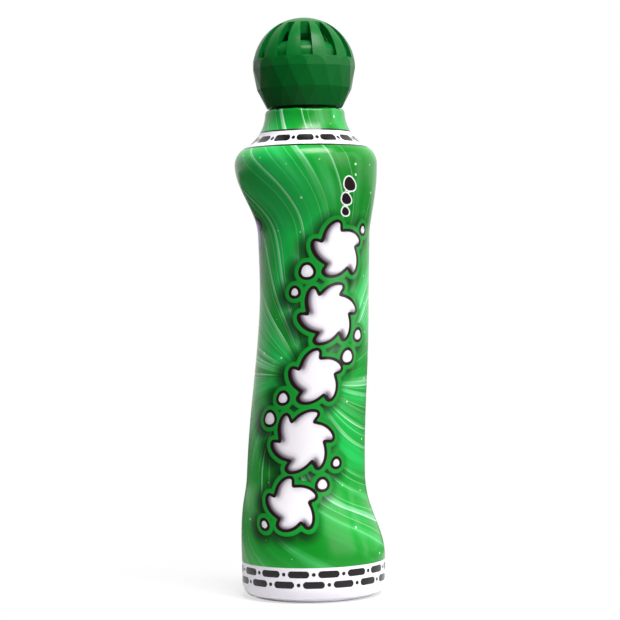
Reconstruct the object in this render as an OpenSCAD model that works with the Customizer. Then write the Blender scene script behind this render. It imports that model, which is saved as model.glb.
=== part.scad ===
// Bingo dauber: a twisted squeeze bottle in a printed shrink sleeve, with a sprung
// foam tip and a screw-on ball cap. Millimetres, +Z up, origin under the foot's centre.

/* [Bottle] */
// Diameter of the foot
foot_d = 37.6; // [34:0.1:44]
// Height of the foot's straight wall
foot_h = 10.4; // [8:0.1:16]
// Radius of the heel under the foot's wall
heel_r = 4; // [2.5:0.1:6]
// Inner diameter of the ring that the bottle stands on
standing_ring_d = 25; // [18:0.5:27]
// Rise of the dished bottom inside the standing ring
dish_h = 2.5; // [1:0.1:5]
// Height of the flare from the foot up to the grip
lower_flare_h = 21.5; // [14:0.1:26]
// Diameter of the grip at its lower end
grip_d = 30.9; // [29:0.1:34]
// Height from the grip's lower end to the waist
waist_h = 47.3; // [36:0.1:60]
// Diameter of the waist, the bottle's narrowest place
waist_d = 28.4; // [26:0.1:31]
// Length over which the waist is rounded
waist_round = 4; // [2:0.5:12]
// Height from the waist to the upper flare
upper_grip_h = 16.1; // [8:0.1:24]
// Height of the flare from the grip to the shoulder
upper_flare_h = 18.8; // [14:0.1:26]
// Diameter of the shoulder
shoulder_d = 37.3; // [36:0.1:42]
// Radius of the shoulder's edge
shoulder_edge_r = 4.9; // [4:0.1:6]
// Slope of the shoulder's top in degrees
shoulder_slope = 32; // [26:1:38]
// Radius of the hollow between the shoulder and the collar
hollow_r = 11; // [8:0.5:12]
// Diameter of the collar under the cap
collar_d = 20.6; // [20:0.1:23]
// Slant that is left at the collar's top in degrees
collar_slant = 2.8; // [1:0.1:6]
// Radius of the collar's top edge
collar_edge_r = 0.8; // [0.4:0.1:1.2]
// Thickness of the bottle's wall
wall = 1; // [0.7:0.1:1.5]
// Thickness of the collar's roof round the neck
collar_roof = 1.2; // [0.8:0.1:2]

/* [Twist] */
// Distance of the grip's centre from the bottle's axis
twist_offset = 1.74; // [0:0.01:2.5]
// Height over which that distance fades out at each end
twist_fade = 16.4; // [12:0.1:22]
// Height that the half turn reaches past the grip's top
twist_reach = 5.7; // [0:0.1:10]

/* [Neck and thread] */
// Diameter of the neck under its thread
neck_d = 16.6; // [15.6:0.1:17.4]
// Height of the neck above the collar
neck_h = 6.6; // [6:0.1:8]
// Thickness of the neck's wall
neck_wall = 2; // [1.4:0.1:2.4]
// Depth of the thread
thread_depth = 0.7; // [0.5:0.05:0.9]
// Lead of the thread, the rise in one turn
thread_lead = 3; // [2.8:0.1:3.4]
// Turns of thread on the neck
thread_turns = 1.2; // [1:0.05:1.3]
// Height of a thread ridge at its root
thread_root_w = 1.3; // [1:0.05:1.5]
// Height of a thread ridge at its crest
thread_crest_w = 0.6; // [0.4:0.05:0.8]
// Height from the collar to the middle of the neck thread's start
thread_start_h = 2.1; // [1.8:0.1:2.4]

/* [Sleeve and ink] */
// Thickness of the sleeve's film
film_t = 0.2; // [0.15:0.01:0.3]
// How far round the heel and the collar's edge the sleeve shrinks, in degrees
sleeve_wrap = 45; // [20:1:60]
// Air space between the ink and the shoulder's widest level
ink_drop = 4; // [2:0.5:20]

/* [Valve] */
// Length of the valve housing's plug in the neck
plug_l = 11; // [9:0.1:12]
// Thickness of the plug's wall
plug_wall = 1.08; // [0.8:0.02:1.3]
// Thickness of the housing's flange on the neck
flange_t = 1; // [0.8:0.1:1.4]
// Width of the flange's sealing land
seal_land = 0.7; // [0.5:0.05:0.9]
// Height of the housing's cup above the flange
cup_h = 3; // [2.5:0.1:3.4]
// Thickness of the cup's wall
cup_wall = 0.5; // [0.4:0.05:0.7]
// Thickness of the valve seat
seat_t = 1.5; // [1:0.1:2]
// Diameter of the hole in the valve seat
seat_hole_d = 5; // [4:0.1:6]
// Diameter of the valve stem
stem_d = 3; // [2.4:0.1:3.2]
// Diameter of the stem's head
stem_head_d = 8; // [7.6:0.1:9]
// Thickness of the stem's head
stem_head_t = 1.6; // [1:0.1:2.4]
// Diameter of the valve's rubber washer
washer_d = 7.6; // [6.6:0.1:8]
// Thickness of the valve's rubber washer
washer_t = 0.8; // [0.5:0.05:1.2]
// Wire diameter of the valve spring
wire_d = 0.7; // [0.5:0.05:0.8]
// Turns of the valve spring
spring_turns = 7; // [5:1:8]

/* [Tip] */
// Travel of the tip when it is dabbed
tip_travel = 2; // [1:0.1:2.4]
// Thickness of the carrier's disc
disc_t = 1; // [0.8:0.1:1.4]
// Length of the carrier's guide skirt
skirt_h = 7; // [5:0.1:8]
// Thickness of the guide skirt
skirt_wall = 0.9; // [0.7:0.05:1]
// Thickness of the boss round the stem
boss_wall = 1.1; // [0.8:0.05:1.2]
// Number of ink holes in the carrier's disc
ink_holes = 6; // [4:1:8]
// Diameter of an ink hole
ink_hole_d = 0.9; // [0.6:0.05:1.1]
// Thickness of the tip's cloth
cloth_t = 0.35; // [0.25:0.01:0.45]
// Thickness of the ring that clamps the cloth
ring_wall = 0.35; // [0.3:0.01:0.5]
// Height of the clamping ring
ring_h = 1.7; // [1.2:0.1:2.2]
// Height of the tip's straight side above the carrier's disc
tip_side_h = 1.8; // [1:0.1:2.4]
// Room between the tip's top and the cap
tip_headroom = 0.75; // [0.4:0.05:1.5]

/* [Cap] */
// Diameter of the ball
ball_d = 27.3; // [26.4:0.1:30]
// Height from the cap's rim to the ball's widest crease
cap_skirt_h = 10.3; // [9.5:0.1:12]
// Height from the crease down to the middle row of facet corners
facet_drop = 5.4; // [4.5:0.1:6]
// Number of facets round the ball
facets = 18; // [12:1:24]
// Thickness of the cap's rim outside its bore
rim_wall = 0.85; // [0.7:0.05:1.2]
// Gap between the collar and the cap's rim
rim_gap = 0.7; // [0.5:0.1:1.2]
// Turn of the cap's pattern at rest in degrees
cap_turn = -86.6; // [-180:0.1:180]
// Thickness of the crown's ring outside the spigot
crown_wall = 1.45; // [1.2:0.05:1.8]
// Height of the spigot above the crease
spigot_h = 2.5; // [2:0.1:3]
// Rise of the inner dome above the spigot
dome_rise = 4.8; // [4.4:0.1:5.4]
// Squareness of the inner dome's shoulder, where 2 is an ellipse
dome_square = 3; // [2.5:0.1:3.6]
// Thickness of the inner dome
dome_wall = 1.2; // [0.9:0.05:1.4]
// Number of slots round the crown
slots = 12; // [8:1:14]
// Height from the crease to the slots' lower ends
slot_h = 2.4; // [1.5:0.1:3]
// Diameter of the closed disc on top of the crown
crown_disc_d = 13.2; // [11:0.1:15]
// Width of a slot at the crown's disc
slot_top_w = 2.1; // [1.4:0.05:2.4]
// Width of a slot at the ball's side
slot_low_w = 3.2; // [2.4:0.05:3.8]
// Thickness of the crown's top
crown_t = 1.85; // [1.4:0.05:2.4]
// How far the solid core under the disc reaches past it, behind the ribs
core_lip = 0.3; // [0.2:0.05:0.8]
// Diameter of the core's foot on the inner dome
core_foot_d = 11.8; // [11:0.1:12.6]
// Thickness of the cap's sealing washer
seal_t = 1; // [0.6:0.1:1.4]

/* [Fits] */
// Gap between pieces that are pressed together
press_gap = 0.03; // [0.02:0.01:0.05]
// Gap between the guide skirt and its bore
run_gap = 0.08; // [0.05:0.01:0.1]
// Gap round pieces that pass each other
pass_gap = 0.2; // [0.15:0.01:0.3]
// Gap between the cap's thread crest and the neck
crest_gap = 0.25; // [0.2:0.01:0.35]
// Room left under the tip at the end of its travel
travel_gap = 0.3; // [0.2:0.05:0.5]

/* [Hidden] */

$fn = 96;
sides = 40;            // corners of a lofted bottle section
ring_step = 3.4;       // height between bottle sections
arc_steps = 8;         // chords of a rounded corner
thread_steps = 24;     // thread sections in one turn
curl_steps = 8;        // spring sections in one turn
wire_sides = 6;        // corners of the spring's wire
run_out = 40;          // degrees over which a thread's end fades into its wall
eps = 0.01;            // overlap of joined solids
loft_inset = 0.02;     // the lofted grip lies this far inside the round ends that it joins

// Levels of the bottle
grip_z = foot_h + lower_flare_h;
waist_z = grip_z + waist_h;
flare_z = waist_z + upper_grip_h;
shoulder_z = flare_z + upper_flare_h;
ink_z = shoulder_z - ink_drop;
foot_r = foot_d / 2;
shoulder_r = shoulder_d / 2;

// Hollow between the shoulder and the collar: a circle that touches the shoulder's
// slope and the collar's side
slope_dir = [-cos(shoulder_slope), sin(shoulder_slope)];
slope_normal = [sin(shoulder_slope), cos(shoulder_slope)];
shoulder_c = [shoulder_r - shoulder_edge_r, shoulder_z];
slope_foot = shoulder_c + shoulder_edge_r * slope_normal;
hollow_x = collar_d / 2 + hollow_r;
slope_l = (slope_foot.x + hollow_r * slope_normal.x - hollow_x) / cos(shoulder_slope);
hollow_c = slope_foot + slope_l * slope_dir + hollow_r * slope_normal;
collar_side = hollow_c - hollow_r * [cos(collar_slant), sin(collar_slant)];
collar_c = collar_side - [collar_edge_r, 0];
collar_z = collar_c.y + collar_edge_r;
roof_z = collar_z - collar_roof;

// Neck, valve housing and tip, from the neck's wall inwards
neck_r = neck_d / 2;
neck_z = collar_z + neck_h;
bore_r = neck_r - neck_wall;
plug_r = bore_r - press_gap;
guide_r = plug_r - plug_wall;
skirt_r = guide_r - run_gap;
flange_r = neck_r - run_gap;
flange_z = neck_z + flange_t;
cup_r = flange_r - seal_land;
cup_in_r = cup_r - cup_wall;
ring_r = cup_in_r - pass_gap;
cloth_r = ring_r - ring_wall - press_gap;
head_r = cloth_r - cloth_t - press_gap;
plug_z = neck_z - plug_l;
seat_z = plug_z + seat_t;
disc_z = flange_z + travel_gap + tip_travel;
foam_z = disc_z + disc_t;
stem_r = stem_d / 2;
boss_r = stem_r + press_gap + boss_wall;
skirt_in_r = skirt_r - skirt_wall;
wire_r = wire_d / 2;
coil_r = (boss_r + skirt_in_r) / 2;
coil_z = seat_z + press_gap + wire_r;
coil_h = disc_z - press_gap - wire_r - coil_z;

// Thread: the cap's ridge runs midway between the neck's turns
thread_r = neck_r + thread_depth;
cap_bore_r = thread_r + pass_gap;
cap_crest_r = neck_r + crest_gap;
thread_z = collar_z + thread_start_h;
cap_thread_start = 120; // degrees along the neck's thread
cap_thread_turn = 360;  // degrees of ridge in the cap

// Cap
ball_r = ball_d / 2;
rim_z = collar_z + rim_gap;
ball_z = rim_z + cap_skirt_h;
rim_r = cap_bore_r + rim_wall;
facet_r = sqrt(ball_r * ball_r - facet_drop * facet_drop);
facet_turn = 180 / facets;
spigot_r = ball_r - crown_wall;
dome_z = ball_z + spigot_h;
cap_stop_z = flange_z + seal_t;
tip_room_r = cup_r + pass_gap + press_gap;
tip_top = dome_z + dome_rise - dome_wall - tip_headroom - cloth_t - press_gap;

// Weight from 0 to 1 that starts and ends level
function ease(t) = let (u = min(max(t, 0), 1)) u * u * (3 - 2 * u);

// Points of an arc
function arc(c, r, a0, a1) =
    [for (i = [0:arc_steps]) let (a = a0 + (a1 - a0) * i / arc_steps) c + r * [cos(a), sin(a)]];

function reversed(list) = [for (i = [len(list) - 1:-1:0]) list[i]];

// Radius of the bottle's section at height z: a soft waist that flares at both ends
function soft(u) = sqrt(u * u + waist_round * waist_round) - waist_round;
function grip_r(z) = waist_d / 2 + (grip_d - waist_d) / 2 * soft(waist_z - z) / soft(waist_h);
function section_r(z) =
    let (low = ease((grip_z - z) / lower_flare_h), high = ease((z - flare_z) / upper_flare_h))
    grip_r(z) * (1 - low - high) + foot_r * low + shoulder_r * high;

// Centre of that section: it circles the axis by half a turn between foot and shoulder
function twist(z) = 180 * ease((flare_z + twist_reach - z) / (flare_z + twist_reach - foot_h));
function fade(z) = ease((shoulder_z - z) / twist_fade) * ease((z - foot_h) / twist_fade);
function section_c(z) = twist_offset * fade(z) * [cos(twist(z)), -sin(twist(z))];

// One section as a ring of points, drawn d outside the bottle's face
function section(z, d) = [for (i = [0:sides - 1])
    let (a = 360 * i / sides, r = section_r(z) + d - loft_inset)
    let (p = section_c(z) + r * [cos(a), sin(a)])
    [p.x, p.y, z]];

// Sections from the foot up to height z1
function sections(z1, d) =
    let (n = ceil((z1 - foot_h) / ring_step))
    [for (i = [0:n]) section(foot_h + (z1 - foot_h) * i / n, d)];

// Half outlines of the bottle's round ends, drawn d outside its face
function heel(d, a0) =
    concat(arc([foot_r - heel_r, heel_r], heel_r + d, a0, 0), [[foot_r + d, foot_h]]);
function shoulder(d, a1) = concat(
    arc(shoulder_c, shoulder_edge_r + d, 0, 90 - shoulder_slope),
    arc(hollow_c, hollow_r - d, 270 - shoulder_slope, a1));
function collar_edge(d, a1) = arc(collar_c, collar_edge_r + d, 0, a1);

// Dished bottom, from the axis out to the standing ring
function dish(lift) =
    let (r = standing_ring_d / 2, round_r = (r * r + dish_h * dish_h) / (2 * dish_h))
    arc([0, dish_h - round_r + lift], round_r, 90, acos(r / round_r));

// Outline of the tip's dome, drawn d outside the foam
function tip_dome(d) =
    let (side_z = foam_z + tip_side_h)
    [for (i = [0:2 * arc_steps]) let (a = 90 * i / (2 * arc_steps))
        [(head_r + d) * cos(a), side_z + (tip_top - side_z + d) * sin(a)]];

// Outline of the cap's inner dome, a half oval with square shoulders, drawn d outside it
function dome_line(d) =
    [for (i = [0:2 * arc_steps]) let (a = 90 * i / (2 * arc_steps), power = 2 / dome_square)
        [(spigot_r + d) * pow(cos(a), power), dome_z + (dome_rise + d) * pow(sin(a), power)]];

// Faces between rings of s points: clockwise from outside where the rings turn
// anticlockwise about the way they are stacked
function band(s, i, k) = [for (j = [0:s - 1])
    let (a = i * s + j, b = i * s + (j + 1) % s, c = k * s + (j + 1) % s, d = k * s + j)
    each [[a, d, b], [b, d, c]]];

// Closed solid from a stack of rings
module stack(rings) {
    s = len(rings[0]);
    n = len(rings);
    polyhedron(
        points = [for (r = rings) each r],
        faces = concat(
            [for (i = [0:n - 2]) each band(s, i, i + 1)],
            [[for (j = [0:s - 1]) j], [for (j = [s - 1:-1:0]) (n - 1) * s + j]]));
}

// Tube wall between two stacks of rings
module wall_between(outer, inner) {
    rings = concat(outer, reversed(inner));
    s = len(rings[0]);
    n = len(rings);
    polyhedron(
        points = [for (r = rings) each r],
        faces = [for (i = [0:n - 1]) each band(s, i, (i + 1) % n)]);
}

// Point at radius r, height z and angle a
function around(r, z, a) = [r * cos(a), r * sin(a), z];

// Thread ridge on a wall of radius root_r, from angle a0 for turn degrees; its ends
// sink into the wall
module ridge(root_r, crest_r, z0, a0, turn) {
    sink = sign(root_r - crest_r) * thread_depth / 2;
    n = ceil(thread_steps * turn / 360);
    rings = [for (i = [0:n])
        let (t = turn * i / n, a = a0 + t, z = z0 + thread_lead * t / 360)
        let (f = ease(min(t, turn - t) / run_out), end_r = root_r + sink / 4)
        let (tip_r = end_r + (crest_r - end_r) * f)
        let (ring = [
            around(root_r + sink, z - thread_root_w / 2, a),
            around(tip_r, z - thread_crest_w / 2, a),
            around(tip_r, z + thread_crest_w / 2, a),
            around(root_r + sink, z + thread_root_w / 2, a)])
        sink > 0 ? ring : reversed(ring)];
    stack(rings);
}

module bottle() {
    color("white") {
        rotate_extrude()
            polygon(concat(dish(0), heel(0, -90), reversed(concat(dish(wall), heel(-wall, -90)))));
        wall_between(sections(shoulder_z, 0), sections(shoulder_z, -wall));
        inner_end = 180 + asin((hollow_c.y - roof_z) / (hollow_r + wall));
        rotate_extrude()
            polygon(concat(shoulder(0, 180 + collar_slant), collar_edge(0, 90),
                [[neck_r, collar_z], [neck_r, neck_z], [bore_r, neck_z], [bore_r, roof_z]],
                reversed(shoulder(-wall, inner_end))));
        ridge(neck_r, thread_r, thread_z, 0, 360 * thread_turns);
    }
}

module shrink_sleeve() {
    near = press_gap;
    far = press_gap + film_t;
    color("forestgreen") {
        rotate_extrude()
            polygon(concat(heel(far, -sleeve_wrap), reversed(heel(near, -sleeve_wrap))));
        wall_between(sections(shoulder_z, far), sections(shoulder_z, near));
        rotate_extrude()
            polygon(concat(
                shoulder(far, 180 + collar_slant), collar_edge(far, sleeve_wrap),
                reversed(concat(shoulder(near, 180 + collar_slant), collar_edge(near, sleeve_wrap)))));
    }
}

module ink() {
    inside = -wall - press_gap;
    color("green") {
        rotate_extrude()
            polygon(concat(dish(wall + press_gap), heel(inside, -90), [[0, foot_h]]));
        stack(sections(ink_z, inside));
    }
}

module valve_housing() {
    color("whitesmoke") difference() {
        union() {
            translate([0, 0, plug_z]) cylinder(r = plug_r, h = plug_l + eps);
            translate([0, 0, neck_z]) cylinder(r = flange_r, h = flange_t);
            translate([0, 0, neck_z]) cylinder(r = cup_r, h = flange_t + cup_h);
        }
        translate([0, 0, plug_z - eps]) cylinder(d = seat_hole_d, h = seat_t + 2 * eps);
        translate([0, 0, seat_z]) cylinder(r = guide_r, h = plug_l + flange_t);
        translate([0, 0, flange_z]) cylinder(r = cup_in_r, h = cup_h + eps);
    }
}

module valve_stem() {
    head_z = plug_z - washer_t - stem_head_t;
    color("gainsboro") {
        translate([0, 0, head_z]) cylinder(d = stem_head_d, h = stem_head_t);
        translate([0, 0, head_z]) cylinder(r = stem_r, h = disc_z - head_z);
    }
}

module valve_washer() {
    color("dimgray") translate([0, 0, plug_z - washer_t]) difference() {
        cylinder(d = washer_d, h = washer_t);
        translate([0, 0, -eps]) cylinder(r = stem_r + press_gap, h = washer_t + 2 * eps);
    }
}

// Middle line of the spring's wire
coil = [for (i = [0:curl_steps * spring_turns])
    let (t = i / curl_steps) around(coil_r, coil_z + coil_h * t / spring_turns, 360 * t)];
coil_gap = min([for (i = [0:len(coil) - 1 - curl_steps]) norm(coil[i + curl_steps] - coil[i])]) - wire_d;
echo("least gap of the spring to itself, mm", coil_gap);

module valve_spring() {
    rings = [for (i = [0:len(coil) - 1])
        let (a = 360 * i / curl_steps)
        [for (k = [0:wire_sides - 1])
            let (w = 360 * k / wire_sides)
            around(coil_r - wire_r * cos(w), coil[i].z + wire_r * sin(w), a)]];
    color("silver") stack(rings);
}

module tip_carrier() {
    color("whitesmoke") difference() {
        union() {
            translate([0, 0, disc_z]) cylinder(r = head_r, h = disc_t);
            translate([0, 0, disc_z - skirt_h]) difference() {
                cylinder(r = skirt_r, h = skirt_h + eps);
                translate([0, 0, -eps]) cylinder(r = skirt_in_r, h = skirt_h + eps);
            }
            translate([0, 0, disc_z - skirt_h]) cylinder(r = boss_r, h = skirt_h + eps);
        }
        translate([0, 0, disc_z - skirt_h - eps]) cylinder(r = stem_r + press_gap, h = skirt_h + eps);
        for (i = [0:ink_holes - 1])
            rotate(360 * i / ink_holes) translate([coil_r, 0, disc_z - eps])
                cylinder(d = ink_hole_d, h = disc_t + 2 * eps);
    }
}

module foam_pad() {
    color("palegreen") rotate_extrude()
        polygon(concat([[0, foam_z], [head_r, foam_z]], tip_dome(0)));
}

module tip_cloth() {
    near = press_gap;
    far = press_gap + cloth_t;
    color("limegreen") rotate_extrude()
        polygon(concat(
            [[head_r + near, disc_z], [head_r + far, disc_z]],
            tip_dome(far),
            reversed(tip_dome(near))));
}

module cloth_ring() {
    color("white") translate([0, 0, disc_z]) difference() {
        cylinder(r = ring_r, h = ring_h);
        translate([0, 0, -eps]) cylinder(r = ring_r - ring_wall, h = ring_h + 2 * eps);
    }
}

// Corner ring of the faceted ball
function corners(r, z, turn) = [for (i = [0:facets - 1]) around(r, z, turn + 360 * i / facets)];

// Spigot and dome that the crown sits on, from height z0 and drawn d outside them
module dome(d, z0) {
    rotate_extrude() polygon(concat([[0, z0], [spigot_r + d, z0]], dome_line(d)));
}

module cap_body() {
    color("darkgreen") {
        difference() {
            union() {
                rotate(cap_turn) stack([
                    corners(rim_r, rim_z, 0),
                    corners(facet_r, ball_z - facet_drop, facet_turn),
                    corners(ball_r, ball_z, 2 * facet_turn)]);
                dome(0, ball_z - facet_drop / 2);
            }
            translate([0, 0, rim_z - eps]) cylinder(r = cap_bore_r, h = cap_stop_z - rim_z + eps);
            intersection() {
                translate([0, 0, rim_z]) cylinder(r = tip_room_r, h = 2 * ball_d);
                dome(-dome_wall, rim_z);
            }
        }
        ridge(cap_bore_r, cap_crest_r, thread_z - thread_lead / 2 + thread_lead * cap_thread_start / 360,
            cap_thread_start, cap_thread_turn);
    }
}

// The crown's sphere is a hair larger than its corner ring, so that its facets meet in edges.
// Its hollow leaves a core under the disc, which narrows to a foot on the dome and closes the
// slots inside
module cap_crown() {
    slot_r = ball_r + slot_low_w;
    disc_r = crown_disc_d / 2;
    core_r = disc_r + core_lip;
    hollow_r = ball_r - crown_t;
    foot_z = spigot_h + dome_rise;
    core_z = sqrt(hollow_r * hollow_r - core_r * core_r);
    slot_w = slot_top_w + (slot_low_w - slot_top_w) * (slot_r - disc_r) / (ball_r - disc_r);
    color("green") difference() {
        intersection() {
            translate([0, 0, ball_z]) sphere(r = ball_r + eps);
            translate([0, 0, ball_z]) rotate(cap_turn) linear_extrude(ball_d)
                polygon([for (p = corners(ball_r, 0, 0)) [p.x, p.y]]);
        }
        dome(press_gap, ball_z - facet_drop / 2);
        translate([0, 0, ball_z]) difference() {
            sphere(r = hollow_r);
            translate([0, 0, spigot_h]) cylinder(d = core_foot_d, h = ball_r);
            translate([0, 0, foot_z]) cylinder(d1 = core_foot_d, r2 = core_r, h = core_z - foot_z + eps);
            translate([0, 0, core_z]) cylinder(r = core_r, h = ball_r);
        }
        for (i = [0:slots - 1])
            translate([0, 0, ball_z + slot_h]) rotate(cap_turn + 360 * i / slots) linear_extrude(ball_d)
                polygon([[disc_r, -slot_top_w / 2], [slot_r, -slot_w / 2],
                    [slot_r, slot_w / 2], [disc_r, slot_top_w / 2]]);
    }
}

module cap_seal() {
    color("lightgray") translate([0, 0, flange_z]) difference() {
        cylinder(r = cap_bore_r - pass_gap / 2, h = seal_t);
        translate([0, 0, -eps]) cylinder(r = cup_r + pass_gap, h = seal_t + 2 * eps);
    }
}

bottle();
shrink_sleeve();
ink();
valve_housing();
valve_stem();
valve_washer();
valve_spring();
tip_carrier();
foam_pad();
tip_cloth();
cloth_ring();
cap_body();
cap_crown();
cap_seal();
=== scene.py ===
# %% [markdown]
# # A bingo dauber
# A dauber is a squeeze bottle of ink with a cloth-covered foam tip under a screw cap, and it
# stamps round spots on bingo cards. The CAD model already holds every piece at its real size
# and place. This lesson gives the pieces their looks: finer meshes where the eye comes close,
# and a finish for every surface. Sizes are in millimetres until a mesh is made.

# %% Load the CAD model
from math import asin, cos, pi, radians, sin, sqrt

import bmesh
import bpy
import numpy as np
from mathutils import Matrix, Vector


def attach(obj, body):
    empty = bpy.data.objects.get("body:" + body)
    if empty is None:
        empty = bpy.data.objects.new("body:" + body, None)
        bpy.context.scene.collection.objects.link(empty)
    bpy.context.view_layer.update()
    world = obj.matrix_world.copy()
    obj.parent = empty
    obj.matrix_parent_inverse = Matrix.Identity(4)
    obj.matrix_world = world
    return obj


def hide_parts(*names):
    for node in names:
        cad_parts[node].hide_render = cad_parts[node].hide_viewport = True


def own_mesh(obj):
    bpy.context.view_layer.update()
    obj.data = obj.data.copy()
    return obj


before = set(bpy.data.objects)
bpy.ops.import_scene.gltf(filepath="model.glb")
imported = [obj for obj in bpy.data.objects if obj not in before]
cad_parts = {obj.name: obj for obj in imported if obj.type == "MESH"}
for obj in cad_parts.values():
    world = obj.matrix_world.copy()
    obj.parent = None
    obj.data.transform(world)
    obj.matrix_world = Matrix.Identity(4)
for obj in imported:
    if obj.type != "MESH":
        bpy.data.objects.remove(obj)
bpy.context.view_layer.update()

MM = 0.001
print("CAD nodes:", ", ".join(sorted(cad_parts)))

# %% [markdown]
# ## Small helpers
# A new object has to be linked to the scene, so one function does both. A colour is easiest to
# read off as an sRGB hex value, but shaders calculate in linear light, so another turns one into
# the other. Two more fill a node's inputs with numbers, colours or links, and add any node to any
# tree. There "Math ADD" is short for the shader node of that kind with its operation set to ADD.

# %% Object, colour and node helpers
scene = bpy.context.scene


def add_object(name, data):
    """Links a mesh, a lamp or a camera to the scene as an object at the origin."""
    made = bpy.data.objects.new(name, data)
    scene.collection.objects.link(made)
    return made


def linear(hex_colour, alpha=1.0):
    """An sRGB hex colour as linear RGBA."""
    parts = [int(hex_colour[i:i + 2], 16) / 255 for i in (1, 3, 5)]
    return [c / 12.92 if c <= 0.04045 else ((c + 0.055) / 1.055) ** 2.4 for c in parts] + [alpha]


def fill(tree, node, inputs):
    """Fills inputs, listed or by name, with numbers, hex colours, sockets or other nodes' first outputs."""
    for key, value in inputs.items() if isinstance(inputs, dict) else enumerate(inputs):
        if isinstance(value, bpy.types.Node):
            value = next(output for output in value.outputs if output.enabled)
        if isinstance(value, bpy.types.NodeSocket):
            tree.links.new(value, node.inputs[key])
        else:
            node.inputs[key].default_value = linear(value) if isinstance(value, str) else value


main_setting = {
    "Math": "operation", "VectorMath": "operation", "MapRange": "interpolation_type", "Mix": "data_type",
    "TexNoise": "noise_dimensions", "TexVoronoi": "voronoi_dimensions", "UVMap": "uv_map",
    "Attribute": "attribute_name",
}


def add(tree, kind, inputs=(), stops=(), **settings):
    """Adds a node with a ramp's stops and its inputs. A short kind is a shader node's, and the word after
    it is the node's main setting."""
    kind, *choice = kind.split()
    node = tree.nodes.new(kind if "Node" in kind else "ShaderNode" + kind)
    if choice:
        settings[main_setting[kind]] = choice[0]
    for name, value in settings.items():
        setattr(node, name, value)
    if stops:
        elements = node.color_ramp.elements
        while len(elements) < len(stops):
            elements.new(0.5)
        for element, (position, colour) in zip(elements, stops):
            element.position = position
            element.color = linear(colour) if isinstance(colour, str) else colour
    fill(tree, node, inputs)
    return node


def start_material(name):
    """A new material with its tree, its Principled shader and the coordinates of its object."""
    made = bpy.data.materials.new(name)
    made.use_nodes = True
    tree = made.node_tree
    return made, tree, tree.nodes["Principled BSDF"], add(tree, "TexCoord").outputs["Object"]


# %% [markdown]
# ## Camera
# The photograph was taken from just above the middle of the bottle with a long lens, and the
# bottle leans a little to the left in it. One pixel at the bottle's axis is a known number of
# millimetres, so the distance, the height and the lean all follow from pixel measurements.

# %% Place the camera
photo_side = 620          # pixels
photo_middle = photo_side / 2
focal_px = 2029
mm_per_px = 0.2657        # at the bottle's axis
foot_row = 594.3          # pixel row of the foot's level
horizon_row = 294.4
axis_column = 308.6       # pixel column of the axis at the middle row
lean = radians(1.12)
sensor_mm = 36

eye_z = (foot_row - horizon_row) * mm_per_px
aim_z = (foot_row - photo_middle) * mm_per_px
eye_x = (photo_middle - axis_column) * mm_per_px
eye = Vector((eye_x, -focal_px * mm_per_px, eye_z)) * MM
aim = Vector((eye_x, 0, aim_z)) * MM

camera = add_object("camera", bpy.data.cameras.new("camera"))
scene.camera = camera
camera.data.sensor_width = sensor_mm
camera.data.lens = sensor_mm * focal_px / photo_side
camera.data.clip_start = 0.01
camera.location = eye
turned = (aim - eye).to_track_quat("-Z", "Y").to_euler()
turned.rotate_axis("Z", -lean)
camera.rotation_euler = turned
print(f"camera {-eye.y:.3f} m away, {eye.z:.3f} m up, lens {camera.data.lens:.0f} mm")

# %% [markdown]
# ## Studio
# The bottle stands in a white studio: a bright wall behind it, a large soft lamp above and
# another at the right, and a darker room on the camera's side. That is why its edges glow and
# its front stays deep green. The camera sees plain white behind the object, while the light
# that falls on the object stays at a plain level.

# %% Floor, world and lamps
scene.view_settings.view_transform = "Standard"
white = (1, 1, 1, 1)
floor_half = 1.5                   # m from the object to the floor's edge
card_start, card_end = 0.04, 0.16  # m from the axis where the floor's paint starts and ends to darken
lit_share, lit_reach = 0.4, 0.1    # share of the floor's shading that the camera sees, and its reach in m

floor_mesh = bpy.data.meshes.new("floor")
floor_corners = [(x * floor_half, y * floor_half, 0) for x, y in ((-1, -1), (1, -1), (1, 1), (-1, 1))]
floor_mesh.from_pydata(floor_corners, [], [(0, 1, 2, 3)])
floor = add_object("floor", floor_mesh)
floor_paint, tree, shader, at = start_material("matt_white_studio_floor")
sight = add(tree, "LightPath")
from_axis = add(tree, "VectorMath LENGTH", [at])
card = add(
    tree, "MapRange SMOOTHSTEP", {"Value": from_axis, "From Min": card_start, "From Max": card_end})
paint = add(tree, "Mix RGBA", {0: card, 6: "#e2e2e2", 7: "#484848"})
fill(tree, shader, {"Base Color": paint, "Roughness": 0.9})
plain = add(
    tree, "MapRange SMOOTHSTEP", {"Value": from_axis, "From Max": lit_reach, "To Min": 1 - lit_share})
seen = add(tree, "Math MULTIPLY", [sight.outputs["Is Camera Ray"], plain])
glow = add(tree, "Emission", {"Color": white})
mixed = add(tree, "MixShader", [seen, shader, glow])
fill(tree, tree.nodes["Material Output"], {"Surface": mixed})
floor_mesh.materials.append(floor_paint)

world = bpy.data.worlds.new("white_studio")
scene.world = world
world.use_nodes = True
tree = world.node_tree
tree.nodes.clear()
wall_start, wall_full = 0.0, 0.5      # how far behind the object the white wall starts and is full
room_level, wall_level = 0.12, 1.0
sight = add(tree, "LightPath")
way = add(tree, "SeparateXYZ", {0: add(tree, "TexCoord").outputs["Generated"]})
wall = add(
    tree, "MapRange SMOOTHSTEP",
    {"Value": way.outputs["Y"], "From Min": wall_start, "From Max": wall_full,
     "To Min": room_level, "To Max": wall_level})
shown = add(tree, "Mix", {0: sight.outputs["Is Camera Ray"], 2: wall, 3: 1.0})
clear = add(tree, "Math MAXIMUM", [sight.outputs["Is Transmission Ray"], shown])
background = add(tree, "Background", {"Color": white, "Strength": clear})
add(tree, "OutputWorld", {"Surface": background})
lamp_aim = Vector((0, 0, 0.08))       # the middle of the bottle, in m


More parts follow.
